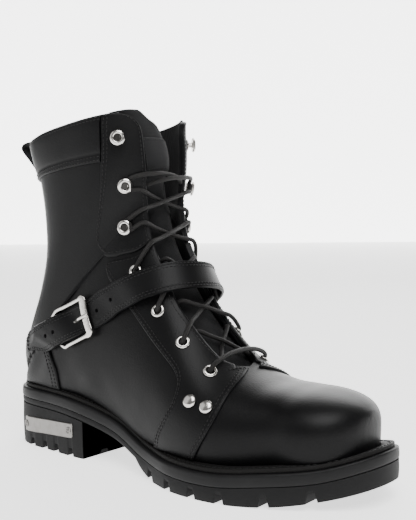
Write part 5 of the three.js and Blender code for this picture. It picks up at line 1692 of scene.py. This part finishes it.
class BootColors(PropertyGroup):
    """Colours of the boot and the floor."""

    leather: color_property("Leather", (0.0022, 0.0022, 0.0024), "Smooth black leather of the upper")
    edge: color_property("Welt", (0.005, 0.0048, 0.0046), "Rough leather of the welt")
    thread: color_property("Thread", (0.0035, 0.0034, 0.0034), "Sewing thread")
    cloth: color_property("Cloth", (0.003, 0.003, 0.0033), "Tongue, lining and pull loop")
    label: color_property("Label", (0.006, 0.006, 0.0064), "Blank woven label")
    rubber: color_property("Tread rubber", (0.0035, 0.0035, 0.0037), "Outsole and heel")
    midsole: color_property("Midsole rubber", (0.0045, 0.0045, 0.0047), "Band above the outsole")
    metal: color_property("Metal", (0.62, 0.6, 0.57), "Nickel fittings")
    lace: color_property("Lace", (0.004, 0.0036, 0.0034), "Waxed lace")
    floor: color_property("Floor", (0.8, 0.8, 0.79), "Studio floor")


class BootSizes(PropertyGroup):
    """Sizes of the dressing, and the stage's light."""

    lace: FloatProperty(name="Lace", description="Lace diameter", default=LACE_DIAMETER, min=0.002,
                        max=0.0045, unit="LENGTH")
    key: FloatProperty(name="Key light", description="Power of the key light", default=30, min=0)
    fill: FloatProperty(name="Fill light", description="Power of each fill light", default=5, min=0)
    ambient: FloatProperty(name="Surround", description="Strength of the pale surround", default=0.2, min=0)


LOOKS = {
    "leather": lambda c: leather_look("black_leather", tuple(c.leather)),
    "edge": lambda c: leather_look("welt_leather", tuple(c.edge), 0.6, 500.0, 0.0003, 0.0),
    "thread": lambda c: thread_look("thread", tuple(c.thread)),
    "cloth": lambda c: weave_look("woven_cloth", tuple(c.cloth)),
    "label": lambda c: weave_look("label_weave", tuple(c.label), 0.0005),
    "rubber": lambda c: rubber_look("tread_rubber", tuple(c.rubber)),
    "midsole": lambda c: rubber_look("midsole_rubber", tuple(c.midsole), 0.5),
    "metal": lambda c: nickel_look("nickel", tuple(c.metal)),
    "plate": lambda c: nickel_look("satin_plate", tuple(0.4 * v for v in c.metal), 0.42),
    # Nickel darkened for the hooks' hollows: painted shade.
    "painted_recess_shade": lambda c: nickel_look("nickel_painted_recess_shade", tuple(0.07 * v for v in c.metal), 0.4),
    # Black for the slots of the heel plate's screws: painted shade.
    "painted_slot_shade": lambda c: rubber_look("painted_slot_shade_black", (0.004, 0.004, 0.004), 0.8),
    "lace": lambda c: cord_look("waxed_lace", tuple(c.lace)),
}


def look_of(kind):
    """The material of this kind, made at its first use."""
    made = bpy.context.scene.get("boot_looks", {})
    name = made.get(kind)
    if name is None or name not in bpy.data.materials:
        name = LOOKS[kind](bpy.context.scene.boot_colors).name
        bpy.context.scene["boot_looks"] = {**dict(made), kind: name}
    return bpy.data.materials[name]


class BOOT_OT_laces(Operator):
    """Makes the lace: its two ends and the laced-up run"""
    bl_idname = "boot.laces"
    bl_label = "Laces"

    def execute(self, context):
        sizes = context.scene.boot_sizes
        build_lace_ends(look_of("lace"), sizes.lace)
        build_lace(look_of("lace"), sizes.lace)
        return {"FINISHED"}


class BOOT_OT_sole(Operator):
    """Makes the outsole, the heel, the midsole, the welt and the insole"""
    bl_idname = "boot.sole"
    bl_label = "Sole"

    def execute(self, context):
        build_outsole(look_of("rubber"))
        build_heel(look_of("rubber"))
        build_midsole(look_of("midsole"))
        build_welt(look_of("edge"), look_of("thread"))
        build_insole(look_of("cloth"))
        return {"FINISHED"}


class BOOT_OT_upper(Operator):
    """Makes the hollow leather upper"""
    bl_idname = "boot.upper"
    bl_label = "Upper"

    def execute(self, context):
        build_upper(look_of("leather"), look_of("cloth"))
        return {"FINISHED"}


class BOOT_OT_overlays(Operator):
    """Makes the stays, the collar and the heel counter, with their stitching"""
    bl_idname = "boot.overlays"
    bl_label = "Stays, collar and counter"

    def execute(self, context):
        build_stays(look_of("leather"), look_of("thread"))
        build_collar(look_of("leather"), look_of("thread"))
        build_counter(look_of("leather"), look_of("thread"))
        return {"FINISHED"}


class BOOT_OT_tongue(Operator):
    """Makes the padded tongue and its blank label"""
    bl_idname = "boot.tongue"
    bl_label = "Tongue"

    def execute(self, context):
        build_tongue(look_of("cloth"), look_of("thread"), look_of("label"))
        return {"FINISHED"}


class BOOT_OT_strap(Operator):
    """Makes the ankle strap and its buckle"""
    bl_idname = "boot.strap"
    bl_label = "Strap and buckle"

    def execute(self, context):
        build_strap(look_of("leather"), look_of("thread"))
        build_buckle(look_of("metal"), look_of("leather"))
        return {"FINISHED"}


class BOOT_OT_pull_loop(Operator):
    """Makes the webbing pull loop"""
    bl_idname = "boot.pull_loop"
    bl_label = "Pull loop"

    def execute(self, context):
        build_pull_loop(look_of("cloth"))
        return {"FINISHED"}


class BOOT_OT_metal(Operator):
    """Makes the eyelets, the hooks, the rivets and the heel plate"""
    bl_idname = "boot.metal"
    bl_label = "Metal fittings"

    def execute(self, context):
        build_hardware(look_of("metal"), look_of("painted_recess_shade"))
        build_heel_plate(look_of("plate"), look_of("painted_slot_shade"))
        return {"FINISHED"}


class BOOT_OT_stage(Operator):
    """Makes the camera, the floor and the lights"""
    bl_idname = "boot.stage"
    bl_label = "Stage"

    def execute(self, context):
        sizes = context.scene.boot_sizes
        build_camera()
        build_stage(tuple(context.scene.boot_colors.floor), sizes.key, sizes.fill, sizes.ambient)
        return {"FINISHED"}


STEPS = (BOOT_OT_stage, BOOT_OT_laces, BOOT_OT_sole, BOOT_OT_upper, BOOT_OT_overlays, BOOT_OT_tongue,
         BOOT_OT_strap, BOOT_OT_pull_loop, BOOT_OT_metal)


class BOOT_PT_panel(Panel):
    """Lists the pieces and their settings"""
    bl_label = "Motorcycle boot"
    bl_idname = "BOOT_PT_panel"
    bl_space_type = "VIEW_3D"
    bl_region_type = "UI"
    bl_category = "Boot"

    def draw(self, context):
        for group in (context.scene.boot_colors, context.scene.boot_sizes):
            for name in group.__annotations__:
                self.layout.prop(group, name)
        for step in STEPS:
            self.layout.operator(step.bl_idname)


CLASSES = (BootColors, BootSizes, *STEPS, BOOT_PT_panel)


def register():
    for cls in CLASSES:
        bpy.utils.register_class(cls)
    bpy.types.Scene.boot_colors = PointerProperty(type=BootColors)
    bpy.types.Scene.boot_sizes = PointerProperty(type=BootSizes)


def unregister():
    del bpy.types.Scene.boot_sizes
    del bpy.types.Scene.boot_colors
    for cls in reversed(CLASSES):
        bpy.utils.unregister_class(cls)


def main():
    register()
    for step in STEPS:
        group, name = step.bl_idname.split(".")
        result = getattr(getattr(bpy.ops, group), name)()
        if result != {"FINISHED"}:
            raise RuntimeError(f"{step.bl_idname} didn't finish")


if __name__ == "__main__":
    main()
